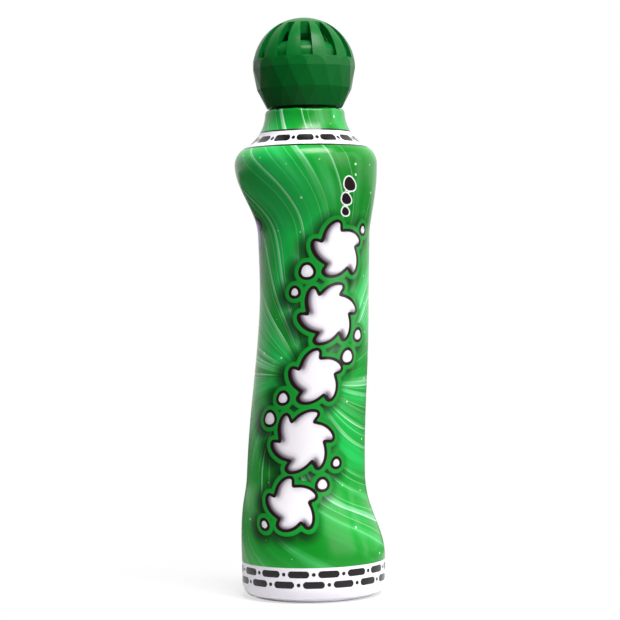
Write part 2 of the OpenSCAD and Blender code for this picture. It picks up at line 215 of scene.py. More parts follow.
def soft_lamp(name, place, size, watts):
    """A rectangular lamp that faces the middle of the bottle."""
    lamp = add_object(name, bpy.data.lights.new(name, "AREA"))
    lamp.data.shape = "RECTANGLE"
    lamp.data.size, lamp.data.size_y = size
    lamp.data.energy = watts
    lamp.location = place
    lamp.rotation_euler = (lamp_aim - Vector(place)).to_track_quat("-Z", "Y").to_euler()
    lamp.visible_camera = False


soft_lamp("top_softbox", (0.2, -0.4, 0.95), (0.6, 0.5), 16)
soft_lamp("right_softbox", (0.75, -0.6, 0.5), (0.9, 0.9), 8)
soft_lamp("right_strip", (0.75, 0.05, 0.3), (0.14, 0.7), 0.9)
print("studio ready")

# %% [markdown]
# ## Rings into skins
# Most pieces of a bottle are round. A round piece can be spun from an outline, but the grip's
# sections also wander off the axis, so here every such piece is a stack of rings with a skin
# drawn over them. A ring of one point closes an end, and a looped stack makes a tube wall.

# %% Skin and outline helpers
def ring(radius, z, angles, centre=(0, 0)):
    """Points round a circle, or one on the axis. Angle 0 faces the viewer, and angles grow rightwards."""
    if np.max(radius) < 1e-6:
        return np.array([[0.0, 0.0, z]])
    x = centre[0] + radius * np.sin(angles)
    y = centre[1] - radius * np.cos(angles)
    return np.stack([x, y, np.full(len(angles), float(z))], 1)


def skin(name, rings, loop=False):
    """A smooth mesh over rings of points in millimetres."""
    starts = np.cumsum([0] + [len(r) for r in rings])
    steps = [(i, i + 1) for i in range(len(rings) - 1)]
    if loop:
        steps.append((len(rings) - 1, 0))
    faces = []
    for low, high in steps:
        n, m = len(rings[low]), len(rings[high])
        for j in range(max(n, m)):
            k = (j + 1) % max(n, m)
            a, b = starts[low], starts[high]
            corners = (a + j % n, a + k % n, b + k % m, b + j % m)
            faces.append(list(dict.fromkeys(int(c) for c in corners)))
    mesh = bpy.data.meshes.new(name)
    mesh.from_pydata((np.concatenate(rings) * MM).tolist(), [], faces)
    mesh.shade_smooth()
    return mesh


def rod(name, sections):
    """A skin over sections along a path, closed in the middle of both ends."""
    ends = [sections[i].mean(0, keepdims=True) for i in (0, -1)]
    return skin(name, [ends[0]] + sections + [ends[1]])


def even_angles(count):
    """Angles round a full turn that start and end at the back."""
    return np.linspace(-pi, pi, count, endpoint=False)


def arc(centre, radius, start, end, steps=24):
    """Points of an arc in the outline's plane, with angles in degrees."""
    angle = np.radians(np.linspace(start, end, steps + 1))
    return np.stack([centre[0] + radius * np.cos(angle), centre[1] + radius * np.sin(angle)], 1)


def spaced(path, step):
    """A path's points set out again at an even step."""
    along = np.concatenate([[0], np.cumsum(np.hypot(*np.diff(path, axis=0).T))])
    at = np.linspace(0, along[-1], max(1, round(along[-1] / step)) + 1)
    return np.stack([np.interp(at, along, path[:, i]) for i in (0, 1)], 1)


def rounded(corners, radius, steps=4):
    """A closed outline whose corners are eased by a radius."""
    corners = np.array(corners, float)
    points = []
    most = 0.45               # share of a side that its easing may take up
    for before, corner, after in zip(np.roll(corners, 1, 0), corners, np.roll(corners, -1, 0)):
        to_before, to_after = before - corner, after - corner
        reach = min(radius, most * np.hypot(*to_before), most * np.hypot(*to_after))
        first = corner + to_before / np.hypot(*to_before) * reach
        last = corner + to_after / np.hypot(*to_after) * reach
        for t in np.linspace(0, 1, steps + 1):
            points.append((1 - t) ** 2 * first + 2 * t * (1 - t) * corner + t ** 2 * last)
    return np.array(points)


def lathe(name, outline, columns=96):
    """A closed outline spun round the axis, with its flat faces kept flat."""
    angles = even_angles(columns)
    made = add_object(name, skin(name, [ring(r, z, angles) for r, z in outline], loop=True))
    made.modifiers.new("flat_faces", "WEIGHTED_NORMAL")
    return made


def dress(piece, body, slot, finish, *nodes):
    """Puts a finished piece on its body, in place of its CAD nodes."""
    piece.data.materials.clear()
    piece.data.materials.append(finish)
    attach(piece, body)
    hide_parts(*nodes)
    print(f"{piece.name}: {len(piece.data.polygons)} faces, on {body}")


# %% [markdown]
# ## Shape of the bottle
# The foot and the shoulder are round and centred. Between them the grip narrows to a waist,
# and the centre of each section circles the axis by half a turn, which makes the bottle look
# twisted. The same rules shape the CAD bottle, so the skins below lie exactly on it.

# %% Bottle sizes and section rules
foot_r, foot_h, heel_r = 18.8, 10.4, 4.0
standing_ring_r, dish_h = 12.5, 2.5
lower_flare_h, upper_flare_h = 21.5, 18.8
grip_d, waist_h, waist_d, waist_round, upper_grip_h = 30.9, 47.3, 28.4, 4.0, 16.1
shoulder_r, shoulder_edge_r, shoulder_slope = 18.65, 4.9, 32
hollow_r, collar_r, collar_slant, collar_edge_r = 11.0, 10.3, 2.8, 0.8
twist_offset, twist_fade, twist_reach = 1.74, 16.4, 5.7
bottle_wall = 1.0
grip_z = foot_h + lower_flare_h
waist_z = grip_z + waist_h
flare_z = waist_z + upper_grip_h
shoulder_z = flare_z + upper_flare_h

slope = radians(shoulder_slope)
slope_normal = np.array([sin(slope), cos(slope)])
shoulder_c = np.array([shoulder_r - shoulder_edge_r, shoulder_z])
slope_foot = shoulder_c + shoulder_edge_r * slope_normal
slope_l = (slope_foot[0] + hollow_r * slope_normal[0] - collar_r - hollow_r) / cos(slope)
hollow_c = slope_foot + slope_l * np.array([-cos(slope), sin(slope)]) + hollow_r * slope_normal
slant = radians(collar_slant)
collar_c = hollow_c - hollow_r * np.array([cos(slant), sin(slant)]) - np.array([collar_edge_r, 0])
collar_z = collar_c[1] + collar_edge_r


def ease(t):
    """A weight from 0 to 1 that starts and ends level."""
    u = np.clip(t, 0, 1)
    return u * u * (3 - 2 * u)


def soft(u):
    """Distance with its point rounded off, for the waist."""
    return np.sqrt(u * u + waist_round ** 2) - waist_round


def section_r(z):
    """Radius of the bottle's section at a height."""
    grip = waist_d / 2 + (grip_d - waist_d) / 2 * soft(waist_z - z) / soft(waist_h)
    low = ease((grip_z - z) / lower_flare_h)
    high = ease((z - flare_z) / upper_flare_h)
    return grip * (1 - low - high) + foot_r * low + shoulder_r * high


def section_c(z):
    """Centre of the bottle's section at a height."""
    turn = pi * ease((flare_z + twist_reach - z) / (flare_z + twist_reach - foot_h))
    off = twist_offset * ease((shoulder_z - z) / twist_fade) * ease((z - foot_h) / twist_fade)
    return off * np.cos(turn), -off * np.sin(turn)


def bottle_outline(gap, heel_start, collar_end):
    """The outline a gap outside the bottle, from an angle on the heel to one on the collar's edge."""
    levels = np.linspace(foot_h, shoulder_z, 240)
    return np.concatenate([
        arc((foot_r - heel_r, heel_r), heel_r + gap, heel_start, 0),
        np.stack([section_r(levels) + gap, levels], 1),
        arc(shoulder_c, shoulder_edge_r + gap, 0, 90 - shoulder_slope),
        arc(hollow_c, hollow_r - gap, 270 - shoulder_slope, 180 + collar_slant),
        arc(collar_c, collar_edge_r + gap, 0, collar_end, 8),
    ])


print(f"shoulder at {shoulder_z:.1f} mm, collar at {collar_z:.1f} mm")

# %% [markdown]
# ## Shrink sleeve
# The print is on a film tube that was slipped over the bottle and shrunk on in a heat tunnel.
# Its cut edges lie just under the collar's rim and round the heel, where they waver a little,
# and its welded seam runs up the back. A fine mesh lets the film carry those and lets each
# point know how far it lies from the printed shapes, so that their outlines stay crisp.

# %% Build the sleeve
film_gap, film_t, sleeve_wrap = 0.03, 0.2, 45
row_step, inner_step, column_count = 0.45, 4.0, 232
seam_half, seam_edge, seam_rise = 2.2, 0.25, 0.05
hem_waver, hem_reach = 0.12, 3.0
print_height = 140.0      # height that the film's map spans

seam_angles = np.array([seam_half - seam_edge, seam_half, seam_half + seam_edge]) / foot_r
angles = np.unique(np.concatenate([even_angles(column_count), seam_angles - pi, pi - seam_angles]))
outer = spaced(bottle_outline(film_gap + film_t, -sleeve_wrap, sleeve_wrap), row_step)
inner = spaced(bottle_outline(film_gap, -sleeve_wrap, sleeve_wrap), inner_step)[::-1]
seam_mm = (pi - np.abs(angles)) * foot_r
seam_lift = seam_rise * ease((seam_half - seam_mm) / seam_edge)
waver = hem_waver * (np.sin(3 * angles + 1) + 0.6 * np.sin(7 * angles) + 0.4 * np.sin(17 * angles + 2))
rings = []
for radius, z in outer:
    low, high = (ease((hem_reach - abs(z - outer[end, 1])) / hem_reach) for end in (0, -1))
    points = ring(radius + seam_lift, z, angles, section_c(z))
    points[:, 2] += waver * (low - high)
    rings.append(points)
for radius, z in inner:
    rings.append(ring(radius, z, angles, section_c(z)))
sleeve = add_object("shrink_sleeve_film", skin("shrink_sleeve_film", rings, loop=True))

levels = np.concatenate([outer[:, 1], inner[:, 1]])
turn_share = np.append(angles, angles[0] + 2 * pi) / (2 * pi) + 0.5
level_share = np.append(levels, levels[0]) / print_height
film_map = np.empty((len(levels), len(angles), 4, 2))
film_map[:, :, (0, 3), 0] = turn_share[None, :-1, None]
film_map[:, :, (1, 2), 0] = turn_share[None, 1:, None]
film_map[:, :, (0, 1), 1] = level_share[:-1, None, None]
film_map[:, :, (2, 3), 1] = level_share[1:, None, None]
sleeve.data.uv_layers.new(name="film").data.foreach_set("uv", film_map.ravel())
print(f"sleeve: {len(levels)} rings of {len(angles)} points")

# %% [markdown]
# ## Printed whirls
# The front carries a falling line of white whirls with drops round them, each with a black edge,
# a green margin and an airbrushed shadow. Shapes like that are easily drawn from one number, the
# distance to the nearest edge, which is less than nothing inside. It is worked out here for every
# point of the film, also for the same shapes moved a little, which gives the shading and the
# shadow their direction.

# %% Measure the distance to the whirls
far_off = 50.0            # mm, stands for no shape nearby
shadow_reach = 9.0        # mm round a shape where its distance is needed
whirl_sizes = (6.0, 6.6, 5.8, 6.8, 5.7)
whirl_top, whirl_step = 91.0, 16.4
line_start, line_lean = 6.8, 0.165        # where the line starts across the front, and its lean
drop_turn, drop_gap = 0.55, 3.0           # bearing of a whirl's drops in radians, and their distance
whirls, drops = [], []                    # each shape: across, up, size, depth of its lobes, their number
for i, size in enumerate(whirl_sizes):
    z = whirl_top - whirl_step * i
    x = line_start - line_lean * (whirl_top - z)
    whirls.append((x, z, size, 0.2, 5 + i % 2))
    for j in range(2):
        way = pi * j + drop_turn * (-1) ** i
        reach = 1.2 * size + drop_gap
        drop_size = 0.95 + 0.3 * ((i + 2 * j) % 3)
        drops.append((x + reach * cos(way), z + reach * sin(way), drop_size, 0.05, 3))
black_drops = [(11.6, 108.0, 1.8, 0.06, 3), (9.8, 104.2, 1.45, 0.06, 3), (9.0, 101.0, 1.1, 0.06, 3)]
lilac_whirls = [(-22.6, 96.0, 4.6, 0.2, 5), (-21.4, 86.6, 1.8, 0.05, 3)]
whirl_twist = 1.0         # how far an arm turns, in radians, over the shape's size
edge_steps = 240
edge_turns = np.linspace(0, 2 * pi, edge_steps + 1)


def shape_distance(across, up, shapes):
    """Distance in mm from points of the film to the nearest edge of the shapes."""
    nearest = np.full(across.shape, far_off)
    for x, z, size, depth, lobes in shapes:
        close = np.hypot(across - x, up - z) < size * (1 + depth) + shadow_reach
        dx, dz = across[close] - x, up[close] - z
        away = np.hypot(dx, dz)
        turn = np.arctan2(dz, dx) + whirl_twist * away / size
        inside = away < size * (1 + depth * np.sin(lobes * turn))
        edge_r = size * (1 + depth * np.sin(lobes * edge_turns))
        edge_a = edge_turns - whirl_twist * edge_r / size
        edge = np.stack([edge_r * np.cos(edge_a), edge_r * np.sin(edge_a)], 1)
        gap = np.full(dx.shape, far_off)
        for (x0, z0), (x1, z1) in zip(edge, edge[1:]):
            span = (x1 - x0) ** 2 + (z1 - z0) ** 2
            share = np.clip(((dx - x0) * (x1 - x0) + (dz - z0) * (z1 - z0)) / span, 0, 1)
            gap = np.minimum(gap, np.hypot(dx - x0 - share * (x1 - x0), dz - z0 - share * (z1 - z0)))
        nearest[close] = np.minimum(nearest[close], np.where(inside, -gap, gap))
    return nearest


shade_move, drop_shade_move = (0.9, 0.35), (0.3, 0.1)  # how far the shading is moved across and up
drop_shade_gap = 0.6                                   # how far a drop's shading stays inside its edge
shadow_move = -1.3, -0.9                               # how far the shadow is moved
across = angles[None, :] * outer[:, 0, None]
up = np.repeat(outer[:, 1, None], len(angles), 1)
large = whirls + lilac_whirls
shaded = shape_distance(across - shade_move[0], up - shade_move[1], large)
drops_shaded = shape_distance(across - drop_shade_move[0], up - drop_shade_move[1], drops) - drop_shade_gap
distances = {
    "whirl": shape_distance(across, up, large + drops),
    "whirl_shade": np.minimum(shaded, drops_shaded),
    "whirl_shadow": shape_distance(across - shadow_move[0], up - shadow_move[1], large + drops),
    "lilac_whirl": shape_distance(across, up, lilac_whirls),
    "black_drop": shape_distance(across, up, black_drops),
}
for name, distance in distances.items():
    values = np.full(len(sleeve.data.vertices), far_off)
    values[:distance.size] = distance.ravel()
    sleeve.data.attributes.new(name, "FLOAT", "POINT").data.foreach_set("value", values)
    print(f"{name}: least {distance.min():.2f} mm")

# %% [markdown]
# ## Printed film
# The film is clear PETG, printed on its back, so the ink lies under a glossy skin. The green is
# marbled: pale streaks burst out of the middle of the front and curl as they go. To draw that,
# the film's map is turned into a distance and a bearing from the burst's centre. Turning the
# bearing back with the distance uncurls the streaks, so that each one keeps a single value.

# %% Make the marbled ground
burst_turn, burst_z = radians(-5), 58.0  # centre of the burst
burst_r = 16.0                           # mean radius of the bottle
bend_mm, bend_share = 35, 0.35           # size of the slow bends in the streaks, and how far they turn
curl_high, curl_low = 4e-5, 2.2e-4       # turn of the streaks per square mm, above and below the centre
streak_drift = 0.004                     # change of the ground along the streaks, per mm
fold = 0.97                              # how close to the sides the pattern turns back to meet the back

film, tree, shader, at = start_material("reverse_printed_PETG_shrink_film")
film_uv = add(tree, "UVMap film")
place = add(tree, "SeparateXYZ", [film_uv])
height = add(tree, "Math MULTIPLY", [place.outputs["Y"], print_height])
to_burst = -pi - burst_turn
turn = add(tree, "Math MULTIPLY_ADD", [place.outputs["X"], 2 * pi, to_burst])
side_way = add(tree, "Math SINE", [turn])
folded = add(tree, "Math MULTIPLY", [side_way, fold])
side_turn = add(tree, "Math ARCSINE", [folded])
side_mm = add(tree, "Math MULTIPLY", [side_turn, burst_r])
up_mm = add(tree, "Math SUBTRACT", [height, burst_z])
from_burst = add(tree, "CombineXYZ", [side_mm, up_mm])
reach = add(tree, "VectorMath LENGTH", [from_burst])
away = add(tree, "Math MAXIMUM", [reach, 1.0])
bearing = add(tree, "Math ARCTAN2", [side_mm, up_mm])
bend = add(tree, "TexNoise", {"Vector": at, "Scale": 1 / (bend_mm * MM), "Detail": 0.0})
bent = add(tree, "Math MULTIPLY_ADD", [bend, bend_share, bearing])
curl = add(
    tree, "MapRange",
    {"Value": up_mm, "From Min": -35.0, "From Max": 5.0, "To Min": curl_low, "To Max": curl_high})
away_squared = add(tree, "Math POWER", [away, 2.0])
curled = add(tree, "Math MULTIPLY_ADD", [away_squared, curl, bent])
ray = add(tree, "Math WRAP", [curled, pi, -pi])

drift = add(tree, "Math MULTIPLY", [away, streak_drift])
ray_x = add(tree, "Math COSINE", [ray])
ray_y = add(tree, "Math SINE", [ray])
flow = add(tree, "CombineXYZ", [ray_x, ray_y, drift])
broad = add(tree, "TexNoise", {"Vector": flow, "Scale": 3.4, "Detail": 3.0})
ground = add(tree, "ValToRGB", [broad], stops=[(0.34, "#097a1c"), (0.52, "#0e932d"), (0.68, "#1cb14f")])
veils = add(tree, "TexNoise", {"Vector": flow, "Scale": 9.0, "Detail": 2.0})
veil_share = add(tree, "MapRange", {"Value": veils, "From Min": 0.52, "From Max": 0.78, "To Max": 0.45})
marble = add(tree, "Mix RGBA", {0: veil_share, 6: ground, 7: "#58cc7c"})

# %% [markdown]
# A streak is a pale band with one bright side. Voronoi cells in one dimension, taken over the
# uncurled bearing, give each streak its own place, and the bearing's difference from that place
# times the distance is how far a point lies beside it, in millimetres. Each streak draws its
# width and strength from its cell's random colour, and a slow noise lets it start and end.

# %% Add the streaks and the sparkles
streaked = marble
near_burst = add(tree, "MapRange SMOOTHSTEP", {"Value": away, "From Min": 6.0, "From Max": 16.0})
on_collar = add(
    tree, "MapRange", {"Value": height, "From Min": 121.0, "From Max": 123.0, "To Min": 1.0, "To Max": 1.7})
level = add(tree, "Math MULTIPLY", [near_burst, on_collar])
clusters = add(tree, "TexNoise", {"Vector": flow, "Scale": 2.6, "Detail": 0.0})
crowd = add(tree, "MapRange SMOOTHSTEP", {"Value": clusters, "From Min": 0.41, "From Max": 0.58})
streak_levels = ((0.0, 0), (0.06, 0.3), (0.62, 0.42), (0.78, 1), (0.92, 0.9), (1.0, 0))  # across a streak
streak_stops = [(share, (value, value, value, 1)) for share, value in streak_levels]
for per_turn, thin, thick, strength in ((56, 0.3, 0.95, 0.8), (90, 0.1, 0.2, 0.45)):
    lines = add(tree, "TexVoronoi 1D", {"W": ray, "Scale": per_turn / (2 * pi)})
    chance = add(tree, "SeparateColor", [lines.outputs["Color"]])
    off_line = add(tree, "Math SUBTRACT", [ray, lines.outputs["W"]])
    beside = add(tree, "Math MULTIPLY", [off_line, away])
    width = add(tree, "MapRange", {"Value": chance.outputs["Red"], "To Min": 2 * thin, "To Max": 2 * thick})
    share = add(tree, "Math DIVIDE", [beside, width])
    across_band = add(tree, "Math ADD", [share, 0.5])
    band = add(tree, "ValToRGB", [across_band], stops=streak_stops)
    own = add(tree, "Math MULTIPLY", [chance.outputs["Green"], 40.0])
    along = add(tree, "CombineXYZ", [own, drift])
    length = add(tree, "TexNoise 2D", {"Vector": along, "Scale": 4.0, "Detail": 0.0})
    lit = add(
        tree, "MapRange SMOOTHSTEP",
        {"Value": length, "From Min": 0.42, "From Max": 0.6, "To Max": strength})
    grown = add(tree, "Math MULTIPLY", [lit, crowd])
    levelled = add(tree, "Math MULTIPLY", [grown, level])
    cover = add(tree, "Math MULTIPLY", [band, levelled], use_clamp=True)
    streaked = add(tree, "Mix RGBA", {0: cover, 6: streaked, 7: "#a9e6bb"})

sparkle_cell, sparkle_r, sparkle_share = 7.0, 0.36, 0.75   # mm between them, largest radius, strength
film_size = (2 * pi * burst_r, print_height, 1)
on_film = add(tree, "VectorMath MULTIPLY", [film_uv, film_size])
cells = add(tree, "TexVoronoi 2D", {"Vector": on_film, "Scale": 1 / sparkle_cell})
chance = add(tree, "SeparateColor", [cells.outputs["Color"]])
largest_dot = sparkle_r / sparkle_cell
dot_r = add(tree, "MapRange", {"Value": chance.outputs["Red"], "From Min": 0.35, "To Max": largest_dot})
in_dot = add(tree, "Math LESS_THAN", [cells, dot_r])
dot_share = add(tree, "Math MULTIPLY", [in_dot, sparkle_share])
sparkled = add(tree, "Mix RGBA", {0: dot_share, 6: streaked, 7: "#c9f2d3"})
print("marbling:", len(tree.nodes), "nodes")

# %% [markdown]
# The whirls are laid over the marbling with colour ramps on their distances: the soft shadow
# first, then the green margin with the black edge in it, then the white or lilac face with grey
# airbrushed into one side. The ramp's alpha says how much of what is below it covers. White
# bands and their trim of bars and dots come on top.

# %% Lay the whirls and the bands over the marbling
reach_mm = 8.0            # the ramps run from this far inside a shape to this far outside
edge_soft = 0.05          # half the width of a face's edge, in mm
black_edge, margin, grey = "#1d0f15", "#118029", "#857d85"


def shape_layer(attribute, below, stops, mask=None):
    """Lays colours over what is below, by their distance in mm from a shape's edge, and within a mask."""
    distance = add(tree, "Attribute " + attribute)
    share = add(tree, "Math MULTIPLY_ADD", [distance.outputs["Fac"], 0.5 / reach_mm, 0.5])
    placed = [(0.5 + 0.5 * mm / reach_mm, linear(colour, alpha)) for mm, colour, alpha in stops]
    ramp = add(tree, "ValToRGB", [share], stops=placed)
    cover = ramp.outputs["Alpha"]
    if mask:
        edge = add(tree, "Attribute " + mask)
        face = add(
            tree, "MapRange", {"Value": edge.outputs["Fac"], "From Min": edge_soft, "From Max": -edge_soft})
        cover = add(tree, "Math MULTIPLY", [cover, face])
    return add(tree, "Mix RGBA", {0: cover, 6: below, 7: ramp})


shadowed = shape_layer("whirl_shadow", sparkled, [
    (0.8, "#0a1c0e", 0.95), (2.2, "#0a1c0e", 0.75), (4.6, "#0c3a16", 0)])
edged = shape_layer("whirl", shadowed, [
    (0.75, black_edge, 1), (0.85, "#13892c", 1), (1.8, margin, 1), (1.9, margin, 0)])
faced = shape_layer("whirl_shade", edged, [
    (-1.7, "#e2dee4", 1), (-0.6, "#cdc8cf", 1), (0.1, grey, 1), (0.8, black_edge, 1)], "whirl")
toned = shape_layer("lilac_whirl", faced, [
    (-3.0, "#8d80c8", 0.9), (-1.0, "#7064b0", 0.9), (-0.2, "#4c4280", 0.9)], "lilac_whirl")
dotted = shape_layer("black_drop", toned, [
    (-0.05, black_edge, 1), (0.05, "#e4ece5", 1), (0.3, "#e4ece5", 1), (0.45, "#0c5a1c", 0)])

band_low, band_high = 118.35, 122.6       # white band under the collar
band_line = 0.2                          # half the width of its black edges
foot_band = 9.4                          # top of the white band round the foot
band_middle, band_half = (band_low + band_high) / 2, (band_high - band_low) / 2
in_band = add(tree, "Math COMPARE", [height, band_middle, band_half])
in_foot = add(tree, "Math LESS_THAN", [height, foot_band])
in_white = add(tree, "Math MAXIMUM", [in_band, in_foot])
banded = add(tree, "Mix RGBA", {0: in_white, 6: dotted, 7: "#d5d1d9"})


def trim_row(z, radius, repeats, start, bar_half, bar_r, dot_r):
    """One where a row of bars with dots between them is printed, 0 elsewhere."""
    cell = 2 * pi * radius / repeats
    along = add(tree, "Math MULTIPLY_ADD", [place.outputs["X"], repeats, start])
    share = add(tree, "Math FRACT", [along])
    off_middle = add(tree, "Math MULTIPLY_ADD", [share, cell, -cell / 2])
    from_bar = add(tree, "Math ABSOLUTE", [off_middle])
    past_end = add(tree, "Math SUBTRACT", [from_bar, bar_half])
    past_bar = add(tree, "Math MAXIMUM", [past_end, 0.0])
    from_dot = add(tree, "Math SUBTRACT", [cell / 2, from_bar])
    rise = add(tree, "Math SUBTRACT", [height, z])
    marks = []
    for gap, mark_r in ((past_bar, bar_r), (from_dot, dot_r)):
        offset = add(tree, "CombineXYZ", [gap, rise])
        reach = add(tree, "VectorMath LENGTH", [offset])
        marks.append(add(tree, "Math LESS_THAN", [reach, mark_r]))
    return add(tree, "Math MAXIMUM", [marks[0], marks[1]])


marks = [
    trim_row(120.45, 14.2, 14, 0.5, 1.45, 0.85, 0.5),
    trim_row(7.7, foot_r, 15, 0.5, 1.9, 0.9, 0.5),
    trim_row(5.0, foot_r, 15, 0.0, 1.9, 0.9, 0.5),
]
for z in (band_low, band_high):
    marks.append(add(tree, "Math COMPARE", [height, z, band_line]))
printed = marks[0]
for mark in marks[1:]:
    printed = add(tree, "Math MAXIMUM", [printed, mark])
inked = add(tree, "Mix RGBA", {0: printed, 6: banded, 7: "#100b0e"})

# the film follows small unevenness of the bottle's wall, which breaks up its reflections
ripple_mm, ripple_depth = 9, 0.12
ripples = add(tree, "TexNoise", {"Vector": at, "Scale": 1 / (ripple_mm * MM), "Detail": 2.0})
bump = add(tree, "Bump", {"Height": ripples, "Distance": ripple_depth * MM, "Strength": 0.6})
fill(tree, shader, {"Base Color": inked, "Normal": bump, "Roughness": 0.24, "Specular IOR Level": 0.32})
dress(sleeve, "bottle", "sleeve_film", film, "shrink_sleeve")

# %% [markdown]
# ## Moulded plastics
# The bottle is blow-moulded polyethylene, the valve and the cap are injection-moulded
# polypropylene. All have the same kind of skin: a satin gloss with a very fine grain from the
# mould. One function makes them, with each plastic's own colour and gloss.

# %% Make the plastics
cloud_mm = 14             # size of the slow drift of a plastic's colour
gloss_drift = 0.06        # how far the grain moves the roughness either way


def moulded_plastic(name, colour, shade, roughness, grain_mm, grain_depth, shine=0.3):
    """A satin plastic whose colour drifts slightly over the part and whose skin has a fine mould grain."""
    made, tree, shader, at = start_material(name)
    cloud = add(tree, "TexNoise", {"Vector": at, "Scale": 1 / (cloud_mm * MM), "Detail": 2.0})
    tint = add(tree, "Mix RGBA", {0: cloud, 6: colour, 7: shade})
    grain = add(tree, "TexNoise", {"Vector": at, "Scale": 1 / (grain_mm * MM), "Detail": 3.0})
    low, high = roughness - gloss_drift, roughness + gloss_drift
    gloss = add(tree, "MapRange", {"Value": grain, "To Min": low, "To Max": high})
    bump = add(tree, "Bump", {"Height": grain, "Distance": grain_depth * MM, "Strength": 0.5})
    fill(tree, shader, {"Base Color": tint, "Roughness": gloss, "Normal": bump})
    fill(tree, shader, {"Specular IOR Level": shine})
    return made


white_bottle = moulded_plastic("blow_moulded_HDPE_white", "#d5d1d9", "#ceccd3", 0.42, 0.9, 0.02)
white_valve = moulded_plastic("moulded_PP_white", "#cfd0cc", "#c5c7c1", 0.38, 0.6, 0.01)
green_cap = moulded_plastic("moulded_PP_deep_green", "#04581d", "#056626", 0.32, 0.7, 0.012, 0.15)
print("plastics ready")

# %% [markdown]
# ## Bottle
# Under the film only the heel, the dished bottom and the neck of the bottle show. It is skinned
# whole all the same, inside and out, from the middle of the bottom over the grip to the neck
# and down again inside. The neck's thread is one ridge that climbs a turn and a bit, and sinks
# into the neck at both ends.

# %% Build the bottle and its thread
neck_r, neck_h, neck_wall, lip_r, root_fillet = 8.3, 6.6, 2.0, 0.45, 0.5
collar_roof = 1.2
thread_depth, thread_lead, thread_turns, thread_start_h = 0.7, 3.0, 1.2, 2.1
thread_root_w, thread_crest_w, thread_run_out, thread_step = 1.3, 0.6, 40, 5
neck_z = collar_z + neck_h
bore_r = neck_r - neck_wall
roof_z = collar_z - collar_roof
thread_z = collar_z + thread_start_h


def dish(lift):
    """The dished bottom from the axis to the standing ring."""
    dish_r = (standing_ring_r ** 2 + dish_h ** 2) / (2 * dish_h)
    edge = np.degrees(asin(standing_ring_r / dish_r))
    return arc((0, dish_h - dish_r + lift), dish_r, 90, 90 - edge, 12)


def thread_ridge(name, root_r, crest_r, z, start, turn):
    """A thread ridge on a round wall, skinned over sections that climb round it; angles in degrees."""
    sink = (root_r - crest_r) / abs(root_r - crest_r) * thread_depth / 2
    rings = []
    for t in np.linspace(0, turn, round(turn / thread_step) + 1):
        rise = float(ease(min(t, turn - t) / thread_run_out))
        tip_r = root_r + sink / 4 + (crest_r - root_r - sink / 4) * rise
        level = z + thread_lead * t / 360
        half, flat = thread_root_w / 2, thread_crest_w / 2
        crest = tip_r + sink * 0.1     # the crest's corners are eased
        side = [(root_r + sink, half), (root_r, half * 0.95), (tip_r, flat * 1.1), (crest, flat * 0.6)]
        corners = [(r, -w) for r, w in side] + side[::-1]
        if sink > 0:
            corners = corners[::-1]
        angle = radians(start + t)
        rings.append(np.array([(r * cos(angle), r * sin(angle), level + w) for r, w in corners]))
    return rod(name, rings)


def joined(name, *meshes):
    """Several meshes as one, with all faces turned outwards."""
    together = bmesh.new()
    for mesh in meshes:
        part = bmesh.new()
        part.from_mesh(mesh)
        bmesh.ops.recalc_face_normals(part, faces=part.faces)
        part.to_mesh(mesh)
        part.free()
        together.from_mesh(mesh)
    made = bpy.data.meshes.new(name)
    together.to_mesh(made)
    together.free()
    made.shade_smooth()
    return made


outside = np.concatenate([
    dish(0), bottle_outline(0, -90, 90), [[neck_r + root_fillet, collar_z]],
    arc((neck_r + root_fillet, collar_z + root_fillet), root_fillet, 270, 180, 5),
    arc((neck_r - lip_r, neck_z - lip_r), lip_r, 0, 90, 5),
    arc((bore_r + lip_r, neck_z - lip_r), lip_r, 90, 180, 5),
])
inner_end = 180 + np.degrees(asin((hollow_c[1] - roof_z) / (hollow_r + bottle_wall)))
levels = np.linspace(foot_h, shoulder_z, 60)
inside_up = np.concatenate([
    dish(bottle_wall),
    arc((foot_r - heel_r, heel_r), heel_r - bottle_wall, -90, 0, 8),
    np.stack([section_r(levels) - bottle_wall, levels], 1),
    arc(shoulder_c, shoulder_edge_r - bottle_wall, 0, 90 - shoulder_slope, 8),
    arc(hollow_c, hollow_r + bottle_wall, 270 - shoulder_slope, inner_end, 8),
    [[bore_r, roof_z]],
])
angles = even_angles(128)
path = np.concatenate([outside, inside_up[::-1]])
path = path[np.append(True, np.hypot(*np.diff(path, axis=0).T) > 1e-6)]
rings = [ring(r, z, angles, section_c(z)) for r, z in path]
bottle = add_object("bottle_shell", joined(
    "bottle_shell", skin("shell", rings),
    thread_ridge("neck_thread", neck_r, neck_r + thread_depth, thread_z, 0, 360 * thread_turns),
))
print(f"bottle: {len(path)} rings, and a thread of {thread_turns} turns")
